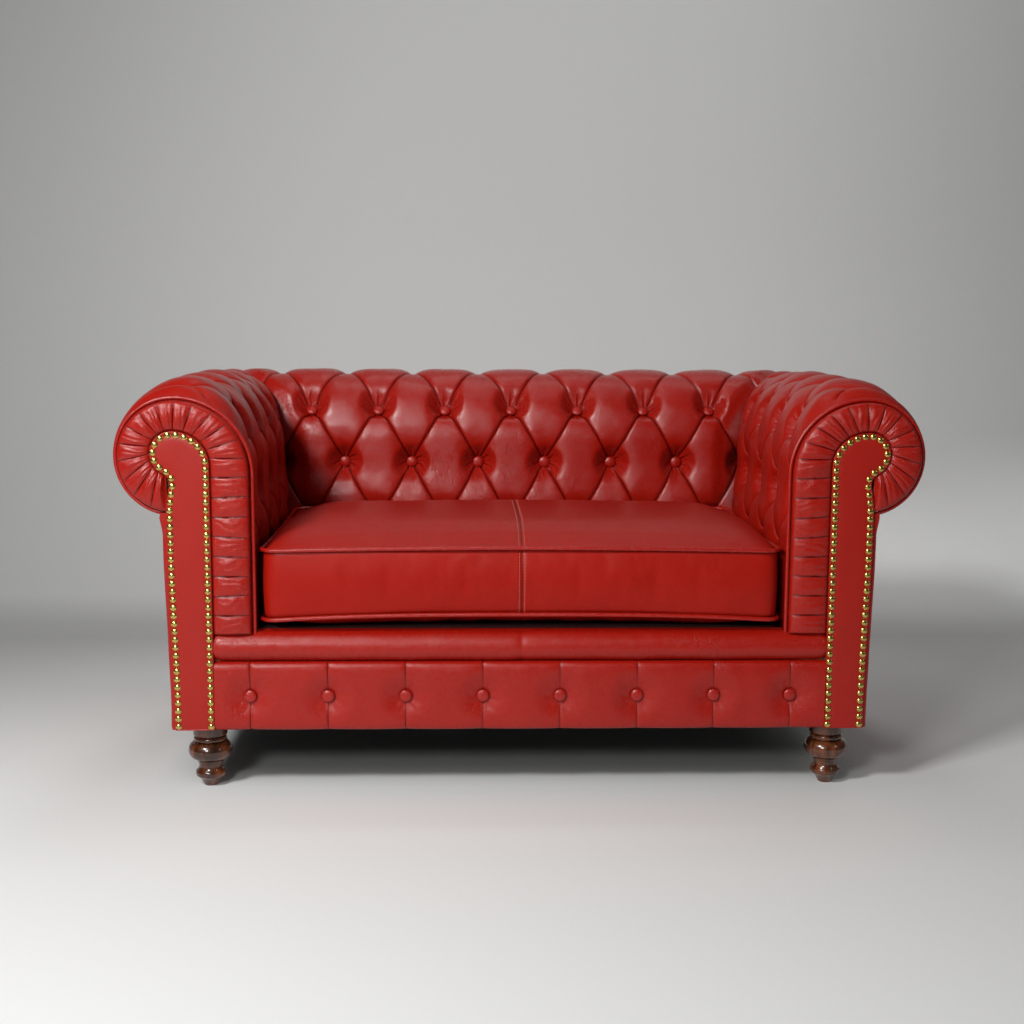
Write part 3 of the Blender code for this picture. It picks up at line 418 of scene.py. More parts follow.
@dataclass(frozen=True)
class Backdrop:
    """Matt studio paper whose grey holds painted light: pale in front, a painted fall-off darkest where the
    wall starts, to the sides and high up, and a painted shadow under the sofa.
    """

    name: str = "studio_paper"
    tint: Colour = (1.0, 1.006, 0.985)
    # Painted light fall-off from the front of the floor to the wall: dark far in front, bright near the sofa,
    # darkest where the wall starts.
    floor: tuple = (
        (0.0, 0.08), (0.17, 0.76), (0.34, 0.78), (0.43, 0.78), (0.52, 0.68),
        (0.63, 0.56), (0.74, 0.46), (0.78, 0.52), (0.85, 0.74),
    )
    floor_run: Span = (-2.3, 2.0)
    wall_start: Span = (0.9, 1.3)
    middle: float = 0.2
    # Painted fall-off of the lamps: darker to the sides of the wall, to the right of the floor and high on
    # the wall; painted light far right near the floor.
    sideways: Span = (0.5, 2.4)
    side_loss: float = 0.20
    rightward: Span = (-0.6, 2.4)
    right_loss: float = 0.10
    upward: Span = (0.8, 2.4)
    high_loss: float = 0.10
    backward: Span = (-0.3, 0.9)
    near_floor: Span = (0.5, 0.1)
    far_gain: float = 0.85
    # Painted shadow under the sofa.
    under_width: Span = (0.72, 0.52)
    under_depth: Span = (0.44, 0.26)
    under_loss: float = 0.55

    def material(self) -> Material:
        """Builds the material."""
        g = Graph(self.name)
        at = g.parts(g.place())
        upright = at["Y"].above(*self.wall_start)
        to_right = at["X"].above(*self.rightward)
        # Painted light: fall-off to the sides, to the right and upward, and painted light far right near the
        # floor.
        side = abs(at["X"] - self.middle).above(*self.sideways) * upright * self.side_loss
        right = to_right * (1.0 - upright) * self.right_loss
        high = at["Z"].above(*self.upward) * self.high_loss
        far = at["Y"].above(*self.backward) * to_right * at["Z"].above(*self.near_floor) * self.far_gain
        # Painted shadow under the sofa.
        under = abs(at["X"]).above(*self.under_width) * abs(at["Y"]).above(*self.under_depth)
        grey = (self._floor_grey(g, at["Y"]) - high) * (1.0 - side) * (1.0 - right + far)
        grey = grey * (1.0 - under * self.under_loss)
        tinted = dict(enumerate(grey * part for part in self.tint))
        g.one_sided()
        tone = g.node("ShaderNodeCombineColor", None, tinted)[0]
        return g.dress(Base_Color=tone, Roughness=0.95, Specular_IOR_Level=0.1)

    def _floor_grey(self, g: Graph, along: Value) -> Value:
        """Painted light fall-off of the paper from the front of the floor to the wall."""
        low, high = self.floor_run
        inputs = {"Value": along, "From Min": low, "From Max": high}
        share = g.node("ShaderNodeMapRange", None, inputs)["Result"]
        greys = [(place, (grey, grey, grey)) for place, grey in self.floor]
        return g.node("ShaderNodeValToRGB", {"stops": greys}, {"Fac": share})["Color"]


class Finishes:
    """Every finish of the sofa, each built once."""

    def __init__(self) -> None:
        """Builds the materials."""
        self.leather = Leather(puckered=True).material()
        self.arm_leather = Leather(name="arm_leather", puckered=True, roughness=0.30, mirror=0.20).material()
        self.cushion_leather = Leather(
            name="cushion_leather", seam=True, wrinkle=0.00018, roughness=0.33, mirror=0.16
        ).material()
        self.border_leather = Leather(name="border_leather", roughness=0.26, mirror=0.40).material()
        self.facing_leather = Leather(
            name="facing_leather", colour=(0.350, 0.0090, 0.0040), roughness=0.34, wrinkle=0.0001, mirror=0.34
        ).material()
        self.piping_leather = Leather(
            name="piping_leather", colour=(0.345, 0.0065, 0.0028), roughness=0.22, wrinkle=0.00015
        ).material()
        self.walnut = Hardwood().material()
        self.nail_brass = Metal(
            "antique_brass", (0.66, 0.50, 0.145), (0.34, 0.24, 0.06), 0.27, 300.0
        ).material()
        self.zip_brass = Metal("zip_brass", (0.62, 0.47, 0.20), (0.32, 0.22, 0.08), 0.28, 300.0).material()
        self.steel = Metal("spring_steel", (0.42, 0.42, 0.43), (0.20, 0.19, 0.18), 0.38).material()
        self.timber = Hardwood("sawn_timber", (0.48, 0.31, 0.17), (0.30, 0.18, 0.09), 0.70, 0.0).material()
        self.jute = Cloth("hessian", (0.42, 0.32, 0.19), (0.18, 0.13, 0.07), 0.0024).material()
        self.deck_cloth = Cloth("deck_cloth", (0.06, 0.01, 0.01), (0.02, 0.004, 0.004), 0.0012).material()
        self.base_cloth = Cloth("base_cloth", (0.024, 0.024, 0.026), (0.008, 0.008, 0.009), 0.0015).material()
        self.thread = Thread().material()
        self.paper = Backdrop().material()


# Mesh tools
def smooth(values: Array | float) -> Array:
    """0 below 0, 1 above 1, and a smooth rise between."""
    values = np.clip(values, 0.0, 1.0)
    return values * values * (3 - 2 * values)


def bump(values: Array, width: float, power: int = 2) -> Array:
    """1 at 0, with a smooth fall on both sides over about one width; steeper with a higher power."""
    return np.exp(-((values / width) ** power))


def xyz(x: Array | float, y: Array | float, z: Array | float = 0.0) -> Array:
    """Places from their coordinates, which are broadcast together."""
    return np.stack(np.broadcast_arrays(x, y, z), -1)


def edged(grid: Array, first: Array | float, last: Array | float) -> Array:
    """A grid of values with one more column on either side."""
    before, after = (np.broadcast_to(column, (len(grid), 1)) for column in (first, last))
    return np.concatenate([before, grid, after], 1)


@dataclass(frozen=True)
class Ripple:
    """Smooth seeded unevenness: a sum of sine waves in space, about -1 to 1."""

    seed: int
    wavelength: float
    waves: int = 10

    def __call__(self, points: Array) -> Array:
        """The unevenness at points of shape (..., 3)."""
        rng = np.random.default_rng(self.seed)
        total = np.zeros(points.shape[:-1])
        for _ in range(self.waves):
            way = rng.normal(size=3)
            way *= math.tau / (self.wavelength * rng.uniform(0.7, 1.5) * np.linalg.norm(way))
            total += np.sin(points @ way + rng.uniform(0, math.tau))
        return total / math.sqrt(self.waves)


def unevenness(seed: int, places: Array, waves: Sequence[Span]) -> Array:
    """The sum of a Ripple for each (wavelength, height), with a seed of its own."""
    return sum(Ripple(seed + i, length)(places) * height for i, (length, height) in enumerate(waves))


def loft_faces(rings: int, points: int, rising: Array | None = None, caps: bool = True) -> list:
    """Faces of a tube through rings of points.

    Args:
        rings: How many rings.
        points: Points of a ring, closed on itself.
        rising: Which diagonal splits each cell, or None for whole quads.
        caps: Whether the first and last ring are closed.

    Returns:
        Lists of point numbers.
    """
    index = np.arange(rings * points).reshape(rings, points)
    a, d = index[:-1], index[1:]
    b, c = np.roll(a, -1, axis=1), np.roll(d, -1, axis=1)
    if rising is None:
        faces = np.stack([a, b, c, d], -1).reshape(-1, 4).tolist()
    else:
        up = rising[..., None]
        first = np.where(up, xyz(a, b, c), xyz(a, b, d))
        second = np.where(up, xyz(a, c, d), xyz(b, c, d))
        faces = np.concatenate([first.reshape(-1, 3), second.reshape(-1, 3)]).tolist()
    if caps:
        faces.append(index[0].tolist())
        faces.append(index[-1].tolist())
    return faces


def make_mesh(name: str, points: Array, faces: list, **carried: Array) -> Mesh:
    """A mesh with point attributes.

    Args:
        name: The mesh's name.
        points: Places, in any shape that ends in 3.
        faces: Lists of point numbers.
        **carried: One number or one vector per point, by attribute name.

    Returns:
        The mesh.
    """
    mesh = bpy.data.meshes.new(name)
    mesh.from_pydata(points.reshape(-1, 3).tolist(), [], faces)
    count = len(mesh.vertices)
    for key, values in carried.items():
        vector = values.size == 3 * count
        layer = mesh.attributes.new(key, "FLOAT_VECTOR" if vector else "FLOAT", "POINT")
        layer.data.foreach_set("vector" if vector else "value", values.astype(np.float32).ravel())
    return mesh


def close_mesh(mesh: Mesh, cuts: Sequence[tuple[Vector, Vector]] = (), merge: float = 0.0) -> None:
    """Cuts a mesh at planes, closes the cuts and turns its faces out.

    Args:
        mesh: The mesh to change.
        cuts: (point, outward direction) of each plane; what lies beyond goes.
        merge: Distance under which points become one, or 0.
    """
    bm = bmesh.new()
    bm.from_mesh(mesh)
    if merge:
        bmesh.ops.remove_doubles(bm, verts=bm.verts, dist=merge)
    for point, outward in cuts:
        parts = bm.verts[:] + bm.edges[:] + bm.faces[:]
        bmesh.ops.bisect_plane(bm, geom=parts, plane_co=point, plane_no=outward, clear_outer=True)
        bmesh.ops.holes_fill(bm, edges=[edge for edge in bm.edges if edge.is_boundary], sides=0)
    bmesh.ops.recalc_face_normals(bm, faces=bm.faces)
    bm.to_mesh(mesh)
    bm.free()


def loft(
    name: str, rings: Array, rising: Array | None = None, cuts: Sequence = (), **carried: Array
) -> Mesh:
    """A closed mesh through rings of points, with its faces turned out.

    Args:
        name: The mesh's name.
        rings: Places, as rings by points by 3.
        rising: Which diagonal splits each cell, or None for whole quads.
        cuts: (point, outward direction) of each plane that ends it.
        **carried: One number or one vector per point, by attribute name.

    Returns:
        The mesh.
    """
    mesh = make_mesh(name, rings, loft_faces(*rings.shape[:2], rising), **carried)
    close_mesh(mesh, cuts)
    return mesh


def new_object(name: str, data: ID) -> Object:
    """An object in the scene that shows a mesh, a lamp or a camera."""
    item = bpy.data.objects.new(name, data)
    bpy.context.scene.collection.objects.link(item)
    return item


def evaluated_mesh(item: Object) -> Mesh:
    """A plain mesh of what an object's modifiers give."""
    graph = bpy.context.evaluated_depsgraph_get()
    return bpy.data.meshes.new_from_object(item.evaluated_get(graph), depsgraph=graph)


def piece(
    mesh: Mesh,
    finish: Material,
    replaced: Sequence[str] = (),
    body: Body = Body.SOFA,
    sharp: float = 60.0,
) -> Object:
    """Makes a mesh a piece of the sofa.

    Args:
        mesh: The finished mesh, in place.
        finish: Its material.
        replaced: Nodes that it stands for.
        body: The body that it rides on.
        sharp: Angle in degrees above which an edge shows.

    Returns:
        The piece's object.
    """
    mesh.materials.clear()
    mesh.materials.append(finish)
    mesh.shade_smooth()
    mesh.set_sharp_from_angle(angle=math.radians(sharp))
    item = new_object(mesh.name, mesh)
    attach(item, body.value)
    if replaced:
        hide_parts(*replaced)
    LOG.info("%s: %d faces on %s", item.name, len(mesh.polygons), body.value)
    return item


def sweep(
    name: str, path: Array, radius: float | Array, sides: int = 12, closed: bool = False
) -> Mesh:
    """A round welt along a path.

    Args:
        name: The mesh's name.
        path: Its centreline, one point a row.
        radius: The welt's radius, one for all or one for each point.
        sides: Flats round the welt.
        closed: Whether the path meets itself.

    Returns:
        The mesh, closed and facing out.
    """
    if closed:
        along = np.roll(path, -1, axis=0) - np.roll(path, 1, axis=0)
    else:
        along = np.gradient(path, axis=0)
    along /= np.linalg.norm(along, axis=1, keepdims=True)
    up = np.array([0.0, 0.0, 1.0])
    if abs(along[:, 2]).max() > 0.95:
        up = np.array([0.0, 1.0, 0.0])
    across = np.cross(along, up)
    across /= np.linalg.norm(across, axis=1, keepdims=True)
    over = np.cross(across, along)
    turn = np.linspace(0, math.tau, sides, endpoint=False)[None, :, None]
    rim = np.cos(turn) * across[:, None] + np.sin(turn) * over[:, None]
    rings = path[:, None] + np.broadcast_to(radius, len(path))[:, None, None] * rim
    if closed:
        rings = np.concatenate([rings, rings[:1]])
    mesh = make_mesh(name, rings, loft_faces(len(rings), sides, caps=not closed))
    close_mesh(mesh, merge=0.00001 if closed else 0.0)
    return mesh


def turned(name: str, profile: Sequence[tuple[float, float]], sides: int) -> Mesh:
    """A solid of revolution about Z from (radius, height) points, both ends on the axis."""
    turn = np.linspace(0, math.tau, sides, endpoint=False)
    inner = profile[1:-1]
    rings = [[(r * math.cos(t), r * math.sin(t), z) for t in turn] for r, z in inner]
    points = np.array(rings).reshape(-1, 3).tolist()
    faces = loft_faces(len(inner), sides, caps=False)
    for ring, (_, height) in ((0, profile[0]), (len(inner) - 1, profile[-1])):
        start = ring * sides
        faces += [[len(points), start + i, start + (i + 1) % sides] for i in range(sides)]
        points.append((0.0, 0.0, height))
    mesh = make_mesh(name, np.array(points), faces)
    close_mesh(mesh)
    return mesh


# Repeats
class RepeatTree:
    """Geometry Nodes that set one small piece at even steps along paths, or at single points."""

    def __init__(self, name: str, along_paths: bool) -> None:
        """Builds the tree.

        Args:
            name: The tree's name.
            along_paths: True to step along the input's edges, False to use its points.
        """
        self.tree = bpy.data.node_groups.new(name, "GeometryNodeTree")
        face = self.tree.interface
        face.new_socket(name="Geometry", in_out="INPUT", socket_type="NodeSocketGeometry")
        for label, kind in (
            ("Piece", "NodeSocketObject"),
            ("Finish", "NodeSocketMaterial"),
            ("Spacing", "NodeSocketFloat"),
            ("Size Spread", "NodeSocketFloat"),
            ("Seed", "NodeSocketInt"),
        ):
            face.new_socket(name=label, in_out="INPUT", socket_type=kind)
        face.new_socket(name="Geometry", in_out="OUTPUT", socket_type="NodeSocketGeometry")
        given = self._add("NodeGroupInput")
        points = given.outputs["Geometry"]
        if along_paths:
            curve = self._add("GeometryNodeMeshToCurve", None, {"Mesh": points})
            steps = {"Curve": curve.outputs[0], "Length": given.outputs["Spacing"]}
            points = self._add("GeometryNodeResampleCurve", {"mode": "LENGTH"}, steps).outputs[0]
            along = self._add("GeometryNodeInputTangent").outputs[0]
        else:
            along = self._named("along")
        axes = {"primary_axis": "Z", "secondary_axis": "X"}
        turn = self._add("FunctionNodeAxesToRotation", axes, {0: self._named("facing"), 1: along})
        source = self._add("GeometryNodeObjectInfo", None, {"Object": given.outputs["Piece"]})
        spread = given.outputs["Size Spread"]
        low = self._add("ShaderNodeMath", {"operation": "SUBTRACT"}, {0: 1.0, 1: spread})
        high = self._add("ShaderNodeMath", {"operation": "ADD"}, {0: 1.0, 1: spread})
        sizes = {2: low.outputs[0], 3: high.outputs[0], "Seed": given.outputs["Seed"]}
        size = self._add("FunctionNodeRandomValue", {"data_type": "FLOAT"}, sizes).outputs[1]
        seats = {"Points": points, "Instance": source.outputs["Geometry"]}
        seats |= {"Rotation": turn.outputs[0], "Scale": size}
        copies = self._add("GeometryNodeInstanceOnPoints", None, seats)
        whole = self._add("GeometryNodeRealizeInstances", None, {0: copies.outputs[0]})
        dressed = {"Geometry": whole.outputs[0], "Material": given.outputs["Finish"]}
        result = self._add("GeometryNodeSetMaterial", None, dressed)
        self._add("NodeGroupOutput", None, {0: result.outputs[0]})

    def _named(self, name: str) -> NodeSocket:
        """The output of a named vector attribute."""
        node = self._add("GeometryNodeInputNamedAttribute", {"data_type": "FLOAT_VECTOR"}, {"Name": name})
        return node.outputs[0]

    def _add(self, kind: str, settings: dict | None = None, inputs: dict | None = None) -> Node:
        """Adds a node with its settings and its inputs."""
        node = self.tree.nodes.new(kind)
        for key, setting in (settings or {}).items():
            setattr(node, key, setting)
        for key, given in (inputs or {}).items():
            if isinstance(given, NodeSocket):
                self.tree.links.new(given, node.inputs[key])
            else:
                node.inputs[key].default_value = given
        return node

    def repeat(
        self,
        name: str,
        guide: Mesh,
        copy: Mesh,
        finish: Material,
        spacing: float = 0.01,
        spread: float = 0.0,
        seed: int = 1,
    ) -> Mesh:
        """Runs the tree and returns its result as a plain mesh.

        Args:
            name: The result's name.
            guide: Paths or points, with "facing" and, for points, "along" attributes.
            copy: The small piece, facing +Z.
            finish: The material of the copies.
            spacing: Step along a path.
            spread: Largest change of size, as a share.
            seed: Seed of the sizes.

        Returns:
            The mesh of all the copies.
        """
        holder = new_object(name + "_guide", guide)
        small = new_object(name + "_copy", copy)
        modifier = holder.modifiers.new("repeat", "NODES")
        modifier.node_group = self.tree
        wanted = {"Piece": small, "Finish": finish, "Spacing": spacing, "Size Spread": spread, "Seed": seed}
        for socket in self.tree.interface.items_tree:
            if socket.in_out == "INPUT" and socket.name in wanted:
                modifier[socket.identifier] = wanted[socket.name]
        mesh = evaluated_mesh(holder)
        mesh.name = name
        for item in (holder, small):
            bpy.data.objects.remove(item, do_unlink=True)
        return mesh


def guide_mesh(
    points: Sequence, facing: Sequence, along: Sequence | None = None, paths: Sequence[int] = ()
) -> Mesh:
    """Points that carry a facing and, where given, an along direction.

    Args:
        points: Places.
        facing: Outward direction, one for all or one for each.
        along: Direction of the copy's X axis likewise, or None on a path.
        paths: How many points each path has; none for loose points.

    Returns:
        The guide mesh.
    """
    edges, start = [], 0
    for count in paths:
        edges += [(start + i, start + i + 1) for i in range(count - 1)]
        start += count
    mesh = bpy.data.meshes.new("guide")
    mesh.from_pydata([tuple(p) for p in points], edges, [])
    for key, values in (("facing", facing), ("along", along)):
        if values is not None:
            layer = mesh.attributes.new(key, "FLOAT_VECTOR", "POINT")
            values = np.broadcast_to(np.array(values, np.float32), (len(points), 3))
            layer.data.foreach_set("vector", values.ravel())
    return mesh


def button_mesh(radius: float, dome: float) -> Mesh:
    """A leather-covered button that faces +Z, with a rolled rim and a short underside."""
    profile = [(0.0, dome)]
    for turn in np.linspace(0, math.pi / 2, 8)[1:]:
        profile.append((radius * math.sin(turn) ** 0.9, dome * math.cos(turn) ** 0.8))
    profile += [(radius * 0.97, -0.0012), (radius * 0.80, -0.0022), (radius * 0.45, -0.0024), (0.0, -0.0024)]
    return turned("button", profile, 28)


def nail_mesh(radius: float, height: float) -> Mesh:
    """A domed nail head that faces +Z."""
    profile = [(0.0, height)]
    for turn in np.linspace(0, math.pi / 2, 5)[1:]:
        profile.append((radius * math.sin(turn), height * math.cos(turn)))
    profile += [(radius * 0.9, -0.0006), (0.0, -0.0006)]
    return turned("nail", profile, 14)


def stitch_mesh(length: float, radius: float) -> Mesh:
    """One stitch along X, half sunk, that faces +Z."""
    turn = np.linspace(0, math.tau, 6, endpoint=False)
    rings = []
    for share, full in ((-0.5, 0.35), (-0.32, 0.95), (0.0, 1.0), (0.32, 0.95), (0.5, 0.35)):
        y, z = radius * full * np.cos(turn), -radius * (1 - full) + radius * full * np.sin(turn)
        rings.append(xyz(share * length, y, z))
    return loft("stitch", np.array(rings))


# The padding that the back and both arms share
@dataclass(frozen=True)
class Padding:
    """Sizes and shape of the buttoned padding."""

    gap: float = 0.0003
    seat_half: float = 0.500
    depth: float = 0.920
    crest_z: float = 0.745
    inner: float = 0.142
    roll: float = 0.108
    tuck_deg: float = 174.0
    foot_z: float = 0.25600
    pitch: float = 0.153
    rows: int = 3
    drops: tuple = (0.0, 0.1205, 0.2670, 0.4000)
    sink: float = 0.036
    rise: float = 0.020
    inner_rise: float = -0.010
    crest_rise: float = 0.004
    crest_reach: float = 0.09
    arm_crown: float = 0.012
    crown_before: float = 0.035
    crown_reach: float = 0.085
    pleat_sink: float = 0.006
    arm_pleat: float = 0.010
    fold_share: float = 0.76
    fold_line: float = 0.0017
    smooth_below: float = 0.480
    puff_fade: float = 0.085
    edge_fade: float = 0.045
    edge_lift: float = -0.0053
    lap_lift: float = -0.0036
    fullness: float = 0.80
    crest_fill: float = 0.38
    groove: float = 0.0036
    groove_width: float = 0.0025
    groove_from: float = 0.02
    folds_from: float = 0.42
    folds_over: float = 0.08
    dish_from: float = 0.0100
    dish_over: float = 0.036
    dish_shade: float = 0.0135
    pucker_from: float = 0.009
    pucker_to: float = 0.046
    button_floor: float = 0.0180
    button_radius: float = 0.0128
    button_proud: float = 0.0026
    cells: int = 28
    roll_steps: int = 54
    below_steps: int = 14
    corner_crease: float = 0.012
    corner_fade: float = 0.030
    waves: tuple = ((0.080, 0.0010), (0.030, 0.00018))
    hollow_outer: float = 0.1383
    hollow_inner: float = 0.0832
    hollow_top: float = 0.6053

    @property
    def face_y(self) -> float:
        """Inside face of the back."""
        return self.depth / 2 - self.rise - self.roll - self.inner

    @property
    def straight_top(self) -> float:
        """Height at which the inside face starts to curve."""
        return self.crest_z - self.inner

    @property
    def crest_v(self) -> float:
        """Arc length at the crest."""
        return self.straight_top + self.inner * math.pi / 2

    @property
    def end_v(self) -> float:
        """Arc length at the tuck under the roll."""
        return self.crest_v + self.roll * math.radians(self.tuck_deg)

    @property
    def roll_z(self) -> float:
        """Height of the roll's centre."""
        return self.crest_z - self.roll

    @property
    def tuck_z(self) -> float:
        """Height of the tuck."""
        return self.roll_z + self.roll * math.cos(math.radians(self.tuck_deg))

    def place(self, v: Array, lift: Array) -> tuple[Array, Array]:
        """(depth, height) at arc length v, lifted along the outward normal.

        Args:
            v: Arc lengths.
            lift: Distance off the profile at each.

        Returns:
            Depths and heights.
        """
        way_d, way_z = self.normal(v)
        on_inner = np.clip(v - self.straight_top, 0, self.inner * math.pi / 2) / self.inner
        on_roll = np.clip(v - self.crest_v, 0, None) / self.roll
        depth = self.inner * (1 - np.cos(on_inner)) + self.roll * np.sin(on_roll)
        height = np.minimum(v, self.straight_top) + self.inner * np.sin(on_inner)
        height = height - self.roll * (1 - np.cos(on_roll))
        return depth + way_d * lift, height + way_z * lift

    def normal(self, v: Array) -> tuple[Array, Array]:
        """Outward direction at arc length v, as depth and height."""
        inner = np.clip(v - self.straight_top, 0, None) / self.inner
        roll = (v - self.crest_v) / self.roll
        over = v > self.crest_v
        return np.where(over, np.sin(roll), -np.cos(inner)), np.where(over, np.cos(roll), np.sin(inner))

    def samples(self) -> Array:
        """Arc lengths of the section's points, from the foot over the roll to the tuck."""
        low = self.row_v(self.rows)
        below = np.linspace(self.foot_z, low, self.below_steps + 1)[:-1]
        tufts = self.row_v(np.linspace(self.rows, 0, self.rows * self.cells + 1))
        over = np.linspace(self.crest_v, self.end_v, self.roll_steps + 1)[1:]
        return np.concatenate([below, tufts, over])

    def row_v(self, row: Array | float) -> Array:
        """Arc length at which a row of buttons sits; rows count down from 0 at the crest."""
        return self.crest_v - np.interp(row, np.arange(self.rows + 1), self.drops)

    def row_at(self, v: Array) -> Array:
        """The row, counted with fractions, at arc length v."""
        return np.interp(self.crest_v - v, self.drops, np.arange(self.rows + 1))

    def offset(self, row: int) -> float:
        """Place of a row's buttons, in pitches from those of the first row."""
        return 0.0 if row % 2 else 0.5

    def covered(self, v: Array) -> Array:
        """How far the folds have begun at arc length v, 0 at the foot to 1 above the smooth part."""
        return smooth((v - self.foot_z) / (self.smooth_below - self.foot_z))

    def folds(self, across: Array, v: Array) -> tuple[Array, ...]:
        """The two families of folds, and the way from the nearest button.

        Args:
            across: Place along the pad, in pitches from a button of the first row.
            v: Arc length.

        Returns:
            How far each family's nearest fold lies, 0 to 0.5, and the way along and up, in metres.
        """
        lowest = self.row_at(v)
        first = (across + 0.5 + lowest / 2) % 1
        second = (across + 0.5 - lowest / 2) % 1
        along = up = math.inf
        for row in range(1, self.rows + 1):
            shifted = across - self.offset(row)
            dx, dy = (shifted - np.round(shifted)) * self.pitch, v - self.row_v(row)
            nearer = np.hypot(dx, dy) < np.hypot(along, up)
            along, up = np.where(nearer, dx, along), np.where(nearer, dy, up)
        return np.minimum(first, 1 - first), np.minimum(second, 1 - second), along, up

    def tufts(
        self, across: Array, v: Array, deep: Array | float = 0.0
    ) -> tuple[Array, Array, Array]:
        """Lift of the buttoned surface, painted shade along its folds and round its buttons, and its puckers.

        Args:
            across: Place along the pad, in pitches.
            v: Arc length.
            deep: How far the pleats over the crest are deepened, 0 to 1.

        Returns:
            Lift in metres, painted shade in the folds from 0 to 1, and (along, up, strength) of the puckers.
        """
        near_first, near_second, along, up = self.folds(across, v)
        to_button = np.hypot(along, up)
        down = self.row_at(v)
        a, b = 4 * near_first * (1 - near_first), 4 * near_second * (1 - near_second)
        shape = (1 - self.fold_share) * np.sqrt(a * b) + self.fold_share * (a + b - a * b)
        filled = self.crest_fill * (1 - smooth(down * 1.15)) * (1 - 0.7 * deep)
        shape = filled + (1 - filled) * np.clip(shape, 0, 1) ** self.fullness
        pleat = self.pleat_sink + self.arm_pleat * deep
        sink = pleat + (self.sink - pleat) * smooth(down)
        sink = sink * self.covered(v)
        up_curve = smooth((v - self.straight_top) / (self.crest_v - self.straight_top))
        rise = self.inner_rise + (self.rise - self.inner_rise) * up_curve
        rise = rise + self.crest_rise * bump(v - self.crest_v, self.crest_reach)
        rise = rise * smooth((v - self.smooth_below) / self.puff_fade)
        tuck = smooth((self.end_v - v) / (self.roll * 0.9))
        lift = (rise + sink) * shape - sink
        floor = (-self.button_floor + rise - self.rise) * self.covered(v)
        lift = floor + (lift - floor) * smooth((to_button - self.dish_from) / self.dish_over) ** 0.75
        nearest = np.minimum(near_first, near_second) * self.pitch
        shown = tuck * (0.25 + 0.75 * smooth((v - self.folds_from) / self.folds_over))
        groove = self.groove * bump(nearest, self.groove_width) * shown
        lift = lift - groove * smooth(to_button / self.groove_from)
        # Painted shade: darker along the fold lines and in a dark halo round each button.
        crease = bump(nearest, self.fold_line) * (0.85 + 0.15 * smooth(down * 2))
        crease = np.maximum(crease, 0.9 * bump(to_button, self.dish_shade, 6))
        begun = smooth((to_button - self.pucker_from) / 0.008)
        strength = begun * smooth((self.pucker_to - to_button) / 0.034) * shown
        pucker = xyz(along, up, strength)
        return tuck * lift, crease * shown, pucker

    def rising(self, across: Array, points: int) -> Array:
        """Which diagonal of each cell follows the nearest fold.

        Args:
            across: The rings' places along the pad, in pitches.
            points: Points of a whole ring, hollow included.

        Returns:
            True where the rising diagonal is the one.
        """
        v = self.samples()
        mid_across = ((across[1:] + across[:-1]) / 2)[:, None]
        mid_v = ((v[1:] + v[:-1]) / 2)[None, :]
        first, second, _, _ = self.folds(mid_across, mid_v)
        result = np.ones((len(across) - 1, points), bool)
        result[:, : len(v) - 1] = first <= second
        return result

    def round_corner(self, mesh: Mesh) -> None:
        """Turns the square rear corner into a quarter round."""
        places = np.empty(len(mesh.vertices) * 3, np.float32)
        mesh.vertices.foreach_get("co", places)
        places = places.reshape(-1, 3).astype(float)
        faces = np.array([self.seat_half, self.face_y])
        side = np.where(places[:, :1] < 0, (-1.0, 1.0), 1.0)
        away = places[:, :2] * side - (faces + self.inner)
        near, far = away.min(axis=1), away.max(axis=1)
        turn = np.where(near > 0, near / np.maximum(far, 1e-9), 0.0) * math.pi / 4
        legs = far[:, None] * np.stack([np.cos(turn), np.sin(turn)], -1)
        legs = np.where(away[:, :1] >= away[:, 1:], legs, legs[:, ::-1])
        places[:, :2] = side * (np.where(near[:, None] > 0, legs, away) + faces + self.inner)
        mesh.vertices.foreach_set("co", places.astype(np.float32).ravel())
        mesh.update()

    def section(
        self, across: Array, thin: Array, room: Array, seed: int, crown: float = 0.0
    ) -> dict[str, Array]:
        """Rings of a pad's section for a row of stations.

        Args:
            across: Each station's place along the pad, in pitches.
            thin: How full the pad is there, 0 to 1.
            room: What is left to the rear corner of the inside faces.
            seed: Seed of the leather's unevenness.
            crown: How much more the pad stands up along its crest, away from the corner.

        Returns:
            Depth, height, painted shade in the creases and pucker of every point.
        """
        v = self.samples()
        depth0, _ = self.place(v, np.zeros_like(v))
        to_mitre = (room[:, None] + depth0[None, :]) / math.sqrt(2)
        deep = smooth((to_mitre - 0.02) / 0.10) if crown else 0.0
        lift, crease, pucker = self.tufts(across[:, None], v[None, :], deep)
        flat = xyz(across[:, None] * self.pitch, v[None, :])
        uneven = unevenness(seed, flat, self.waves)
        lift = lift + uneven * smooth((self.end_v - v) / 0.03)[None, :]
        on_crest = bump(v - self.crest_v + self.crown_before, self.crown_reach)[None, :]
        lift = lift + crown * on_crest * smooth((to_mitre - 0.05) / 0.20)
        corner = self.corner_crease * (1 - smooth(to_mitre / self.corner_fade))
        corner = corner * self.covered(v)[None, :]
        corner = corner * smooth((self.end_v - v) / self.roll)[None, :]
        lift = (lift - corner) * thin[:, None] + self.lap_lift * (1 - thin[:, None])
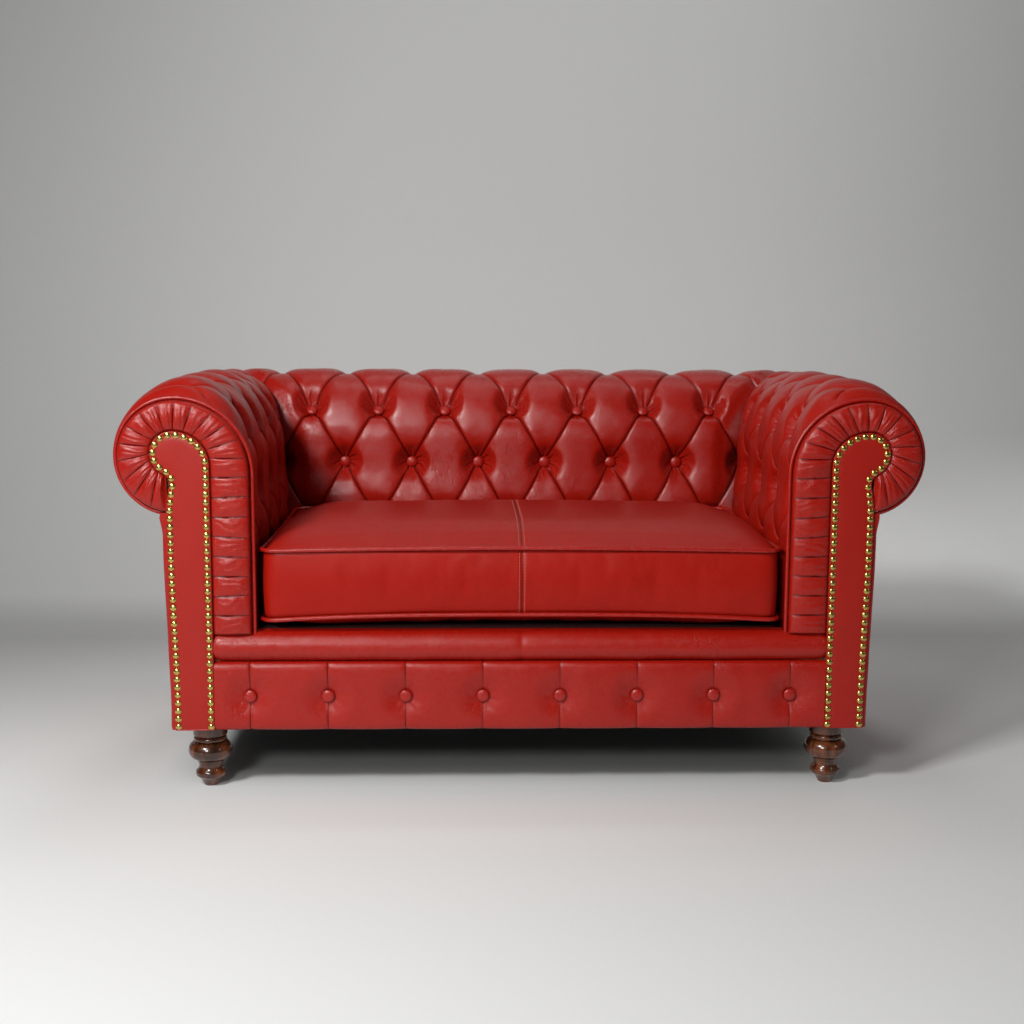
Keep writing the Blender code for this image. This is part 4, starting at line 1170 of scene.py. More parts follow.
        # Painted shade along the crease of the rear corner, added to that of the folds.
        crease = np.maximum(crease * thin[:, None], (corner / self.corner_crease) ** 14 * 0.5)
        depth, height = self.place(np.broadcast_to(v, lift.shape), lift)
        outer, inner, top = self.hollow_outer, self.hollow_inner, self.hollow_top
        hollow = [(outer, self.tuck_z), (outer, top), (inner, top), (inner, self.foot_z)]
        tail = np.broadcast_to(np.array(hollow)[None], (len(across), 4, 2))
        pucker[..., 2] *= thin[:, None]
        return {
            "depth": np.concatenate([depth, tail[..., 0]], 1),
            "height": np.concatenate([height, tail[..., 1]], 1),
            "crease": np.concatenate([crease, np.zeros((len(across), 4))], 1),
            "pucker": np.concatenate([pucker, np.zeros((len(across), 4, 3))], 1),
        }

    def button_at(self, v: float) -> tuple[float, float, float, float]:
        """(depth, height, normal depth, normal height) of a button's seat at arc length v."""
        way = self.normal(np.array(v))
        seat, _, _ = self.tufts(np.array([self.button_across(v)]), np.array([v]))
        depth, height = self.place(np.array(v), seat[0] + self.button_proud)
        return float(depth), float(height), float(way[0]), float(way[1])

    def button_across(self, v: float) -> float:
        """Place along the pad, in pitches, of a button in the row at arc length v."""
        return self.offset(round(float(self.row_at(v))))


PAD = Padding()
ARM_FRONT_Y = -0.42030
ARM_LAP_Y = -0.43900
LAST_BACK_FOLD = (math.floor((PAD.seat_half + PAD.inner) / PAD.pitch - 0.5) + 0.5) * PAD.pitch
FIRST_FOLD = PAD.face_y + PAD.inner - (PAD.seat_half + PAD.inner - LAST_BACK_FOLD)


class ButtonedBack:
    """The back's padding."""

    def build(self, finishes: Finishes) -> None:
        """Builds the pad, mitred to the arms."""
        step = PAD.pitch / (2 * PAD.cells)
        count = math.ceil((PAD.seat_half + PAD.inner + PAD.roll + PAD.rise) / step)
        x = np.arange(-count, count + 1) * step
        cut = PAD.section(x / PAD.pitch, np.ones_like(x), PAD.seat_half - np.abs(x), 11)
        depth = cut["depth"]
        rings = xyz(x[:, None], PAD.face_y + depth, cut["height"])
        rising = PAD.rising(x / PAD.pitch, depth.shape[1])
        cuts = []
        for side in Side:
            outward = Vector((side.value, -1.0, 0.0)).normalized()
            cuts.append((Vector((side.value * PAD.seat_half, PAD.face_y, 0.0)) - outward * PAD.gap, outward))
        mesh = loft("back_padding", rings, rising, cuts, crease=cut["crease"], pucker=cut["pucker"])
        PAD.round_corner(mesh)
        piece(mesh, finishes.leather, ["back_pad"], sharp=75)


@dataclass(frozen=True)
class ButtonedArm:
    """One arm's padding."""

    side: Side

    def build(self, finishes: Finishes) -> None:
        """Builds the pad from the arm front to the mitre."""
        sign = self.side.value
        step = PAD.pitch / (2 * PAD.cells)
        before = math.floor((FIRST_FOLD - ARM_FRONT_Y - step / 3) / step)
        behind = math.ceil((PAD.depth / 2 + PAD.rise - FIRST_FOLD) / step)
        lap = [ARM_LAP_Y, ARM_LAP_Y + 0.006, ARM_LAP_Y + 0.012, ARM_FRONT_Y]
        y = np.concatenate([lap, FIRST_FOLD + np.arange(-before, behind + 1) * step])
        across = (y - FIRST_FOLD) / PAD.pitch + 0.5
        thin = smooth(0.5 + np.maximum(y - ARM_LAP_Y, 0.0) / (2 * PAD.edge_fade)) * 2 - 1
        cut = PAD.section(across, thin, PAD.face_y - y, 23 + sign, PAD.arm_crown)
        depth = cut["depth"]
        rings = xyz(sign * (PAD.seat_half + depth), y[:, None], cut["height"])
        rising = PAD.rising(across, depth.shape[1])
        outward = Vector((-sign, 1.0, 0.0)).normalized()
        cuts = [(Vector((sign * PAD.seat_half, PAD.face_y, 0.0)) - outward * PAD.gap, outward)]
        name = f"{self.side.label}_arm_padding"
        mesh = loft(name, rings, rising, cuts, crease=cut["crease"], pucker=cut["pucker"])
        PAD.round_corner(mesh)
        node = f"{self.side.label}_arm_pad"
        piece(mesh, finishes.arm_leather, [node], sharp=75)


@dataclass(frozen=True)
class TuftButtons:
    """Covered buttons in the back and the arms."""

    dome: float = 0.0062
    from_mitre: float = 0.02
    from_front: float = 0.025

    def build(self, finishes: Finishes) -> None:
        """Sets a button at each crossing of two folds."""
        points, facing, along = [], [], []
        for row in range(1, PAD.rows + 1):
            depth, height, way_d, way_z = PAD.button_at(float(PAD.row_v(row)))
            offset = PAD.offset(row)
            for i in range(-5, 5):
                x = (i + offset) * PAD.pitch
                if abs(x) < PAD.seat_half + depth - self.from_mitre:
                    points.append((x, PAD.face_y + depth, height))
                    facing.append((0.0, way_d, way_z))
                    along.append((1.0, 0.0, 0.0))
            for i in range(-5, 3):
                y = FIRST_FOLD + (i - 0.5 + offset) * PAD.pitch
                if not ARM_FRONT_Y + self.from_front < y < PAD.face_y + depth - self.from_mitre:
                    continue
                for side in Side:
                    points.append((side.value * (PAD.seat_half + depth), y, height))
                    facing.append((side.value * way_d, 0.0, way_z))
                    along.append((0.0, 1.0, 0.0))
        guide = guide_mesh(points, facing, along)
        copy = button_mesh(PAD.button_radius, self.dome)
        tree = RepeatTree("set_buttons", along_paths=False)
        mesh = tree.repeat("tuft_buttons", guide, copy, finishes.piping_leather, spread=0.03, seed=4)
        piece(mesh, finishes.piping_leather, sharp=70)


# Arm fronts
@dataclass(frozen=True)
class ArmFront:
    """Sizes of the scroll-shaped arm front."""

    front_y: float = -0.4575
    thick: float = 0.0060
    pleated_thick: float = 0.0112
    inner_edge: float = 0.076
    outer_edge: float = 0.150
    head: float = 0.041
    shoulder: float = 0.063
    neck: float = 0.022
    head_out: float = 0.002
    head_down: float = -0.0065
    base_z: float = 0.1213
    flare: float = 0.007
    flare_from: float = 0.15
    flare_top: float = 0.545
    lap: float = 0.008
    panel: tuple = (
        (0.0, 0.0060), (0.0, 0.0016), (0.0004, 0.0006), (0.0012, 0.0001), (0.0028, 0.0), (0.0048, 0.0007),
        (0.0066, 0.0012), (0.0086, 0.0009), (0.0120, 0.0001), (0.0170, -0.0004), (0.0230, -0.0006),
    )
    pleats: int = 23
    pleat_steps: int = 26
    pleat_columns: int = 24
    pleat_slant: float = 0.16
    pleat_sizes: Span = (0.82, 1.12)
    pleat_valley: float = 0.62
    pleat_crease: float = 0.048
    fine_fold: float = 0.00055
    piping_taper: float = 0.020
    waves: tuple = ((0.030, 0.0004),)
    from_v: float = 0.3039
    ridge: float = 0.0112
    piping: float = 0.0037
    piping_sunk: float = 0.0010
    piping_end: float = 0.167
    nail_radius: float = 0.0065
    nail_height: float = 0.0034
    nail_inset: float = 0.0068
    nail_sunk: float = 0.0006
    nail_spacing: float = 0.01505
    lowest_nail: float = 0.0075

    @property
    def pleated_front(self) -> float:
        """Front of the pleated border's base."""
        return self.front_y + self.thick + PAD.gap

    @property
    def pleated_back(self) -> float:
        """Back of the pleated border."""
        return self.pleated_front + self.pleated_thick

    @property
    def head_at(self) -> tuple[float, float]:
        """Centre of the round head."""
        return PAD.inner + self.head_out, PAD.roll_z - self.head_down

    def outline(self, inset: float, steps: int = 28) -> Array:
        """(depth, height) outline of the facing, drawn in by inset, from its inner foot round.

        Args:
            inset: Distance inside the edge.
            steps: Points on the head.

        Returns:
            The outline's points.
        """
        head_x, head_z = self.head_at
        reach = head_x - self.inner_edge - inset
        shoulder = self.shoulder - inset
        shoulder_z = head_z + self.head - self.shoulder
        head, neck = self.head - inset, self.neck + inset
        points = [(self.inner_edge + inset, z) for z in np.linspace(self.base_z, shoulder_z, 24)[:-1]]
        for turn in np.linspace(0, math.pi / 2, steps // 2):
            points.append((head_x - reach * math.cos(turn), shoulder_z + shoulder * math.sin(turn)))
        neck_x = self.outer_edge + self.neck
        drop = math.sqrt((self.head + self.neck) ** 2 - (neck_x - head_x) ** 2)
        end = math.atan2(-drop, neck_x - head_x)
        for turn in np.linspace(math.pi / 2, end, steps)[1:]:
            points.append((head_x + head * math.cos(turn), head_z + head * math.sin(turn)))
        for turn in np.linspace(end + math.pi, math.pi, 9)[1:]:
            points.append((neck_x + neck * math.cos(turn), head_z - drop + neck * math.sin(turn)))
        low = points[-1][1]
        points += [(self.outer_edge - inset, z) for z in np.linspace(low, self.base_z, 22)[1:]]
        result = np.array(points)
        share = np.clip((result[:, 0] - self.inner_edge) / (self.outer_edge - self.inner_edge), 0, 1)
        result[:, 0] += share * self.lean(result[:, 1])
        return result

    def lean(self, height: Array) -> Array:
        """How far the outer side of an arm leans out at a height."""
        back_in = smooth((height - self.flare_top) / 0.045)
        return self.flare * smooth((height - self.flare_from) / 0.33) * (1 - back_in)


FRONT = ArmFront()


@dataclass(frozen=True)
class ScrollFront:
    """One arm front: facing, nails, pleated border and piping."""

    side: Side

    def build(self, finishes: Finishes, rows: RepeatTree) -> None:
        """Builds every piece of the arm front."""
        self._facing(finishes)
        self._nails(finishes, rows)
        self._pleats(finishes)
        self._piping(finishes)

    def _facing(self, finishes: Finishes) -> None:
        """The flat panel, sunk along its nails and slightly full in the middle."""
        sign = self.side.value
        rings = []
        for inset, back in FRONT.panel:
            outline = FRONT.outline(inset)
            outline[:, 1] = np.maximum(outline[:, 1], FRONT.base_z + inset * 0.3)
            y = np.full(len(outline), FRONT.front_y + back)
            rings.append(xyz(sign * (PAD.seat_half + outline[:, 0]), y, outline[:, 1]))
        mesh = loft(f"{self.side.label}_facing", np.array(rings))
        node = f"{self.side.label}_scroll_facing"
        piece(mesh, finishes.facing_leather, [node])

    def _nails(self, finishes: Finishes, rows: RepeatTree) -> None:
        """Brass nails along both edges and round the head."""
        sign = self.side.value
        outline = FRONT.outline(FRONT.nail_inset, steps=60)
        outline = outline[outline[:, 1] > FRONT.base_z + 0.002]
        outline[0, 1] = outline[-1, 1] = FRONT.base_z + FRONT.lowest_nail
        y = FRONT.front_y + FRONT.nail_sunk
        points = [(sign * (PAD.seat_half + d), y, z) for d, z in outline]
        guide = guide_mesh(points, (0.0, -1.0, 0.0), paths=[len(points)])
        name = f"{self.side.label}_nails"
        copy = nail_mesh(FRONT.nail_radius, FRONT.nail_height)
        mesh = rows.repeat(name, guide, copy, finishes.nail_brass, FRONT.nail_spacing, 0.05, 7 + sign)
        piece(mesh, finishes.nail_brass, sharp=40)

    def _pleats(self, finishes: Finishes) -> None:
        """The pleated border between the facing and the piping."""
        sign = self.side.value
        count = FRONT.pleats * FRONT.pleat_steps + 1
        v = np.linspace(FRONT.from_v, PAD.end_v, count)
        outer_d, outer_z = PAD.place(v, np.full(count, PAD.edge_lift))
        inner_d, inner_z = self._inner_edge(v)
        rng = np.random.default_rng(31 + sign)
        slant = rng.uniform(-FRONT.pleat_slant, FRONT.pleat_slant, FRONT.pleats + 2)
        size = rng.uniform(*FRONT.pleat_sizes, FRONT.pleats + 2)
        share = np.linspace(0.0, 1.0, FRONT.pleat_columns)
        place = np.linspace(0, FRONT.pleats, count)[:, None]
        shift = np.interp(place[:, 0], np.arange(FRONT.pleats + 2), slant)[:, None] * (share - 0.5)[None]
        phase = (place + shift) % 1.0
        full = np.interp(place[:, 0], np.arange(FRONT.pleats + 2) + 0.5, size)[:, None]
        rib = np.clip(np.sin(math.pi * phase ** 1.25), 0, 1) ** 0.20
        span = np.hypot(outer_d - inner_d, outer_z - inner_z)
        lap = (FRONT.lap * 1.1 / span)[:, None]
        across = np.clip((share[None] - lap) / (1 - lap), 0, 1)
        bulge = np.clip(np.sin(math.pi * across ** 0.90), 0, 1) ** 0.46
        depth = inner_d[:, None] + (outer_d - inner_d)[:, None] * share
        z = inner_z[:, None] + (outer_z - inner_z)[:, None] * share
        flat = xyz(depth, z)
        inward = 1 - 0.20 * across ** 4
        ends = (smooth((PAD.end_v - v) / 0.02) * smooth((v - FRONT.from_v) / 0.006 + 0.35))[:, None]
        valley = FRONT.pleat_valley * inward * (1 - rib)
        height = FRONT.ridge * bulge * (0.7 + 0.3 * full) * (1 - valley) * ends
        fine = np.sin(phase * math.tau * 2.5 + 3.0 * Ripple(45 + sign, 0.05)(flat)) * np.sin(math.pi * phase)
        height = height + fine * FRONT.fine_fold * bulge * smooth((1 - across) / 0.2)
        # Painted shade along each pleat's fold, and a painted shadow line along the facing's edge.
        crease = bump(np.minimum(phase, 1 - phase), FRONT.pleat_crease) * inward * np.clip(bulge * 8.0, 0, 1)
        crease = np.maximum(crease, (1 - smooth(across / 0.07)) * 0.9)
        height = height + unevenness(41 + sign, flat, FRONT.waves) * bulge
        rings = xyz(sign * (PAD.seat_half + depth), FRONT.pleated_front - height, z)
        back = np.stack([rings[:, -1], rings[:, 0]], 1)
        back[..., 1] = FRONT.pleated_back
        rings = np.concatenate([rings, back], 1)
        crease = np.concatenate([crease, np.zeros((count, 2))], 1)
        mesh = loft(f"{self.side.label}_pleats", rings, crease=crease)
        node = f"{self.side.label}_pleated_border"
        piece(mesh, finishes.border_leather, [node], sharp=80)

    def _inner_edge(self, v: Array) -> tuple[Array, Array]:
        """(depth, height) of the pleated border's edge under the facing at arc length v."""
        head_x, head_z = FRONT.head_at
        shoulder_z = head_z + FRONT.head - FRONT.shoulder
        turn = np.clip((v - PAD.straight_top) / PAD.inner, 0, math.pi / 2)
        reach = head_x - FRONT.inner_edge - FRONT.lap
        low = v <= PAD.straight_top
        depth = np.where(low, FRONT.inner_edge + FRONT.lap, head_x - reach * np.cos(turn))
        curved = shoulder_z + (FRONT.shoulder - FRONT.lap) * np.sin(turn)
        height = np.where(low, np.minimum(v, shoulder_z), curved)
        over = v > PAD.crest_v
        round_turn = (v - PAD.crest_v) / PAD.roll * 0.9
        radius = FRONT.head - FRONT.lap
        depth = np.where(over, head_x + radius * np.sin(round_turn), depth)
        height = np.where(over, head_z + radius * np.cos(round_turn), height)
        return depth, height

    def _piping(self, finishes: Finishes) -> None:
        """Piping round the arm front."""
        sign = self.side.value
        beside = PAD.roll * (math.pi - math.asin((FRONT.piping_end - PAD.inner) / PAD.roll))
        low = np.linspace(FRONT.from_v + PAD.gap, PAD.straight_top, 40)[:-1]
        v = np.concatenate([low, np.linspace(PAD.straight_top, PAD.crest_v + beside + 0.012, 110)])
        depth, z = PAD.place(v, np.zeros_like(v))
        y = np.full_like(v, FRONT.pleated_back - FRONT.piping_sunk)
        path = xyz(sign * (PAD.seat_half + depth), y, z)
        thick = FRONT.piping * (0.25 + 0.75 * smooth((v[-1] - v) / FRONT.piping_taper))
        mesh = sweep(f"{self.side.label}_welt", path, thick)
        node = f"{self.side.label}_arm_piping"
        piece(mesh, finishes.piping_leather, [node])


# Front rail
@dataclass(frozen=True)
class FrontRail:
    """Sizes of the lip roll and the buttoned border."""

    half: float = 0.5757
    front_y: float = -0.4600
    low: float = 0.1213
    high: float = 0.2503
    back_y: float = -0.4400
    lip_radius: float = 0.0265
    lip_fill: float = 0.17
    lip_back: float = -0.4140
    lip_open_deg: float = 62.0
    lip_waves: tuple = ((0.11, 0.0003), (0.03, 0.00008))
    lip_seams: tuple = ((0.0030, 0.0016), (0.016, 0.0006))
    lip_line: float = 0.0016
    lip_inset: float = 0.0004
    buttons: int = 8
    margin: float = 0.066
    base: float = 0.0075
    puff: float = 0.0118
    tuck: float = 0.0011
    waves: tuple = ((0.07, 0.0006),)
    seam_line: float = 0.0013
    dish_from: float = 0.008
    dish_over: float = 0.048
    dish_shade: float = 0.0145
    puckers: int = 9
    pucker_at: float = 0.021
    pucker_width: float = 0.009
    pucker: float = 0.0009
    button_radius: float = 0.0120
    button_dome: float = 0.0046
    button_proud: float = 0.0025

    @property
    def pitch(self) -> float:
        """Step between two buttons."""
        return 2 * (self.half - self.margin) / (self.buttons - 1)

    @property
    def button_z(self) -> float:
        """Height of the buttons."""
        return (self.low + self.high) / 2


RAIL = FrontRail()


class BorderAndLip:
    """The padded roll over the front rail and the buttoned border under it."""

    def build(self, finishes: Finishes) -> None:
        """Builds the roll, the border and its buttons."""
        self._lip(finishes)
        self._border(finishes)
        self._buttons(finishes)

    def _lip(self, finishes: Finishes) -> None:
        """The roll, with its middle seam."""
        middle = RAIL.front_y + RAIL.lip_radius
        centre_z = RAIL.high + PAD.gap + RAIL.lip_radius
        arms = [side.value * (PAD.seat_half + away) for side in Side for away in (PAD.gap, -PAD.gap)]
        x = np.unique(np.concatenate([np.linspace(-RAIL.half, RAIL.half, 260), arms]))
        opening = math.radians(RAIL.lip_open_deg)
        turn = np.linspace(opening, math.tau - opening, 34)
        seam = sum(bump(x, width) * depth for width, depth in RAIL.lip_seams)
        end = np.clip((RAIL.half - np.abs(x)) / 0.012, 0, 1) ** 0.5
        places = xyz(x[:, None], turn[None, :] * 0.03)
        uneven = unevenness(51, places, RAIL.lip_waves)
        radius = (RAIL.lip_radius - seam)[:, None] * (0.90 + 0.10 * end[:, None]) + uneven * end[:, None]
        radius = radius - RAIL.lip_inset
        y = middle + radius * np.cos(turn)
        z = centre_z + radius * np.sin(turn) * np.where(np.sin(turn) > 0, 1 + RAIL.lip_fill, 1.0)
        inside = np.abs(x) < PAD.seat_half
        top, bottom = centre_z + RAIL.lip_radius * (0.985 + RAIL.lip_fill), centre_z - RAIL.lip_radius * 0.98
        back = np.where(inside, RAIL.lip_back, RAIL.back_y)[:, None]
        rear_z = np.where(inside, bottom, centre_z - 0.006)[:, None]
        rear_top = np.where(inside, top, centre_z + 0.006)[:, None]
        y = np.concatenate([y, back, back], 1)
        z = np.concatenate([z, rear_z, rear_top], 1)
        rings = xyz(x[:, None], y, z)
        # Painted shade along the roll's middle seam.
        crease = np.broadcast_to(bump(x, RAIL.lip_line)[:, None], y.shape)
        mesh = loft("lip_padding", rings, crease=crease)
        piece(mesh, finishes.border_leather, ["lip_roll"], sharp=50)

    def _border(self, finishes: Finishes) -> None:
        """The border, drawn in at a seam through each button."""
        x = np.unique(np.concatenate([np.linspace(-RAIL.half, RAIL.half, 420), self._button_x()]))
        z = np.linspace(RAIL.low, RAIL.high, 34)
        gx, gz = np.meshgrid(x, z, indexing="ij")
        nearest = np.round(gx / RAIL.pitch + 0.5) - 0.5
        limit = RAIL.buttons / 2 - 0.5
        seam_x = np.clip(nearest, -limit, limit) * RAIL.pitch
        away = np.abs(gx - seam_x)
        level = np.abs(gz - RAIL.button_z) / (RAIL.high - RAIL.low) * 2
        puff = np.sin(np.clip(away / (RAIL.pitch / 2), 0, 1) * math.pi / 2) ** 0.42
        rim = np.sqrt(np.clip(1 - level ** 5, 0, 1))
        shape = puff * (0.40 + 0.60 * rim) + (1 - puff) * 0.62 * rim
        radius = np.hypot(gx - seam_x, gz - RAIL.button_z)
        angle = np.arctan2(gz - RAIL.button_z, gx - seam_x)
        shape = 0.02 + (shape - 0.02) * smooth((radius - RAIL.dish_from) / RAIL.dish_over) ** 0.60
        rays = 0.5 + 0.5 * np.cos(angle * RAIL.puckers + seam_x * 40)
        pucker = bump(radius - RAIL.pucker_at, RAIL.pucker_width) * rays
        swell = unevenness(61, xyz(gx, gz), RAIL.waves) * rim
        height = RAIL.puff * shape - RAIL.pucker * pucker + swell
        y = edged(RAIL.back_y - RAIL.base - height, RAIL.back_y, RAIL.back_y)
        up = edged(gz, gz[:, :1], gz[:, -1:] + RAIL.tuck)
        rings = xyz(x[:, None], y, up)
        # Painted shade along each seam and in a dark halo round each button.
        crease = np.maximum(bump(away, RAIL.seam_line) * 0.7, 0.8 * bump(radius, RAIL.dish_shade, 6))
        mesh = loft("border_padding", rings, crease=edged(crease, 0.0, 0.0))
        piece(mesh, finishes.border_leather, ["front_border"])

    def _button_x(self) -> Array:
        """x of the buttons."""
        return (np.arange(RAIL.buttons) - (RAIL.buttons - 1) / 2) * RAIL.pitch

    def _buttons(self, finishes: Finishes) -> None:
        """The border's covered buttons."""
        y = RAIL.back_y - RAIL.base - RAIL.puff * 0.12 - RAIL.button_proud
        points = [(x, y, RAIL.button_z) for x in self._button_x()]
        guide = guide_mesh(points, (0.0, -1.0, 0.0), (1.0, 0.0, 0.0))
        tree = RepeatTree("set_border_buttons", along_paths=False)
        copy = button_mesh(RAIL.button_radius, RAIL.button_dome)
        mesh = tree.repeat("border_buttons", guide, copy, finishes.piping_leather, spread=0.02, seed=5)
        nodes = [f"border_button_{number}" for number in range(1, RAIL.buttons + 1)]
        piece(mesh, finishes.piping_leather, nodes, sharp=70)


# Seat cushion
@dataclass(frozen=True)
class CushionSizes:
    """Sizes of the loose seat cushion."""

    half: float = 0.485
    front_y: float = -0.446
    back_y: float = 0.147
    low_z: float = 0.3103
    seam_low: float = 0.3383
    boxing: float = 0.120
    crown: float = 0.036
    bulge: float = 0.009
    side_bulge: float = 0.005
    draw_in: float = 0.006
    corner: float = 0.030
    seam_rise: float = 0.005
    seam_sway: float = 0.0062
    piping: float = 0.0042
    lean_deg: float = 42.0
    sag: float = 0.0275
    side_dip: float = 0.006
    clearance: float = 0.0006
    seam_shade: float = 0.006
    voxel: float = 0.0085
    sewn_within: float = 0.007
    fill_frames: int = 20
    most_swell: float = 0.022
    stitch_gap: float = 0.0052
    stitch_length: float = 0.0042
    stitch_radius: float = 0.00055
    stitch_spacing: float = 0.0058
    teeth_left: float = -0.298
    teeth_right: float = 0.2855
    teeth_out: float = 0.0027
    tooth: Point = (0.0012, 0.0044, 0.0010)
    tooth_spacing: float = 0.0024

    @property
    def seam_top(self) -> float:
        """Height of the top seam at the corners."""
        return self.seam_low + self.boxing


SEAT = CushionSizes()
FILLING = dict(
    quality=5, mass=0.35, tension_stiffness=12.0, compression_stiffness=12.0, shear_stiffness=6.0,
    bending_stiffness=0.6, use_pressure=True, uniform_pressure_force=4.0, shrink_min=-0.012,
    vertex_group_mass="sewn",
)


class SeatCushion:
    """The loose bench cushion with its piping, seams, stitches and zip."""

    def build(self, finishes: Finishes, rows: RepeatTree) -> None:
        """Builds every piece of the cushion."""
        seams = {top: self._seam(top) for top in (True, False)}
        cover = self._cover(seams)
        covers = ["seat_cushion"]
        piece(cover, finishes.cushion_leather, covers, Body.CUSHION, sharp=80)
        for top, path in seams.items():
            where = "top" if top else "bottom"
            mesh = sweep(f"cushion_{where}_welt", self._welt_path(path, top), SEAT.piping, closed=True)
            node = f"cushion_{where}_piping"
            piece(mesh, finishes.piping_leather, [node], Body.CUSHION)
        self._stitches(finishes, rows, cover)
        self._zip_teeth(finishes, rows)

    def _turn(self, x: Array) -> Array:
        """Angle round the corner at x."""
        over = (np.abs(x) - SEAT.half + SEAT.corner) / SEAT.corner
        return np.arcsin(np.clip(over, 0, 1))

    def _stations(self) -> Array:
        """x of the cushion's sections."""
        straight = SEAT.half - SEAT.corner
        half = np.linspace(0, straight, 60)
        half = np.concatenate([half, straight + SEAT.corner * np.sin(np.linspace(0, math.pi / 2, 14))[1:]])
        return np.concatenate([-half[:0:-1], half])

    def _share(self, x: Array) -> Array:
        """How far x lies from the middle, 0 to 1 at an end."""
        return np.minimum(np.abs(x) / SEAT.half, 1.0)

    def _edges(self, x: Array) -> tuple[Array, Array, Array]:
        """y of the front seam, y of the rear seam and height of the front top seam at x."""
        rounding = SEAT.corner * (1 - np.cos(self._turn(x)))
        share = self._share(x)
        front = SEAT.front_y + SEAT.draw_in * (1 - share ** 2) + rounding
        return front, SEAT.back_y - rounding, SEAT.seam_top + SEAT.seam_rise * (1 - share ** 2)

    def _low_seam(self, x: Array) -> Array:
        """Height of the front bottom seam at x: it hangs at the ends."""
        return SEAT.seam_low + SEAT.seam_sway * (0.7 - 1.7 * self._share(x) ** 3)

    def _seam(self, top: bool) -> Array:
        """A closed seam line, front from left to right and then the rear."""
        x = self._stations()
        front, rear, high = self._edges(x)
        front_z = high if top else self._low_seam(x)
        rear_z = np.full_like(x, SEAT.seam_top if top else SEAT.seam_low)
        ahead = xyz(x, front, front_z)
        behind = xyz(x, rear, rear_z)[::-1]
        part = np.linspace(0, 1, 40)[1:-1, None]
        side = ahead[-1] + (behind[0] - ahead[-1]) * part
        if top:
            side[:, 2] -= self._dip(part[:, 0])
        return np.concatenate([ahead, side, behind, (side * (-1.0, 1.0, 1.0))[::-1]])

    def _dip(self, part: Array | float) -> Array:
        """How far a side's top seam dips at a share of the depth."""
        return SEAT.side_dip * np.clip(np.sin(math.pi * part), 0, 1) ** 0.6

    def _welt_path(self, seam: Array, top: bool) -> Array:
        """The piping's centreline just outside a seam."""
        lean = math.radians(SEAT.lean_deg)
        reach = (SEAT.piping + 0.0002) * math.cos(lean)
        up = (SEAT.piping + 0.0002) * math.sin(lean) * (1 if top else -1)
        turn = self._turn(seam[:, 0])
        half = len(seam) // 2
        ahead = np.where(np.arange(len(seam)) < half, -1.0, 1.0)
        moved = seam.copy()
        moved[:, 0] += np.sign(seam[:, 0]) * reach * np.sin(turn)
        moved[:, 1] += ahead * reach * np.cos(turn)
        moved[:, 2] += up
        return moved

    def _blank(self, fullness: float) -> Mesh:
        """The cushion before it is filled.

        Args:
            fullness: Share of the crown, the sag and the bulges that it has.

        Returns:
            A closed mesh.
        """
        x = self._stations()
        front, rear, high = self._edges(x)
        share = self._share(x)
        length = rear - front
        under = self._low_seam(x)
        full = fullness + (1.15 - fullness) * share ** 4
        crown = SEAT.crown * full * (1 - share ** 26) ** 0.6
        sag = SEAT.sag * max(fullness, 0.8) * np.sqrt(1 - share ** 8)
        columns = []
        for part in np.linspace(0, 1, 14):
            out = SEAT.bulge * fullness * math.sin(math.pi * part)
            columns.append((front - out, under + (high - under) * part))
        for part in (1 - np.cos(np.linspace(0, math.pi, 40)[1:-1])) / 2:
            seam = high + (SEAT.seam_top - high) * part
            seam = seam - self._dip(part) * share ** 14
            blunt = 4 - 2.2 * share ** 4
            slope = 1 - 0.45 * smooth((share - 0.78) / 0.20) * smooth((part - 0.30) / 0.60)
            arch = (1 - abs(2 * part - 1) ** blunt) ** 0.6
            columns.append((front + length * part, seam + crown * slope * arch))
        for part in np.linspace(1, 0, 14):
            out = SEAT.bulge * fullness * math.sin(math.pi * part)
            height = SEAT.seam_low + SEAT.boxing * part
            columns.append((rear + out, np.full_like(x, height)))
        for part in (1 + np.cos(np.linspace(0, math.pi, 30)[1:-1])) / 2:
            fall = min(1.0, 1.35 * (1 - abs(2 * part - 1) ** 6) ** 0.6)
            seam = under + (SEAT.seam_low - under) * part
            hanging = np.maximum(seam - sag * fall, SEAT.low_z + SEAT.clearance)
            columns.append((front + length * part, hanging))
        rings = np.stack([xyz(x, *column) for column in columns], 1)
        return loft("seat_blank", rings)

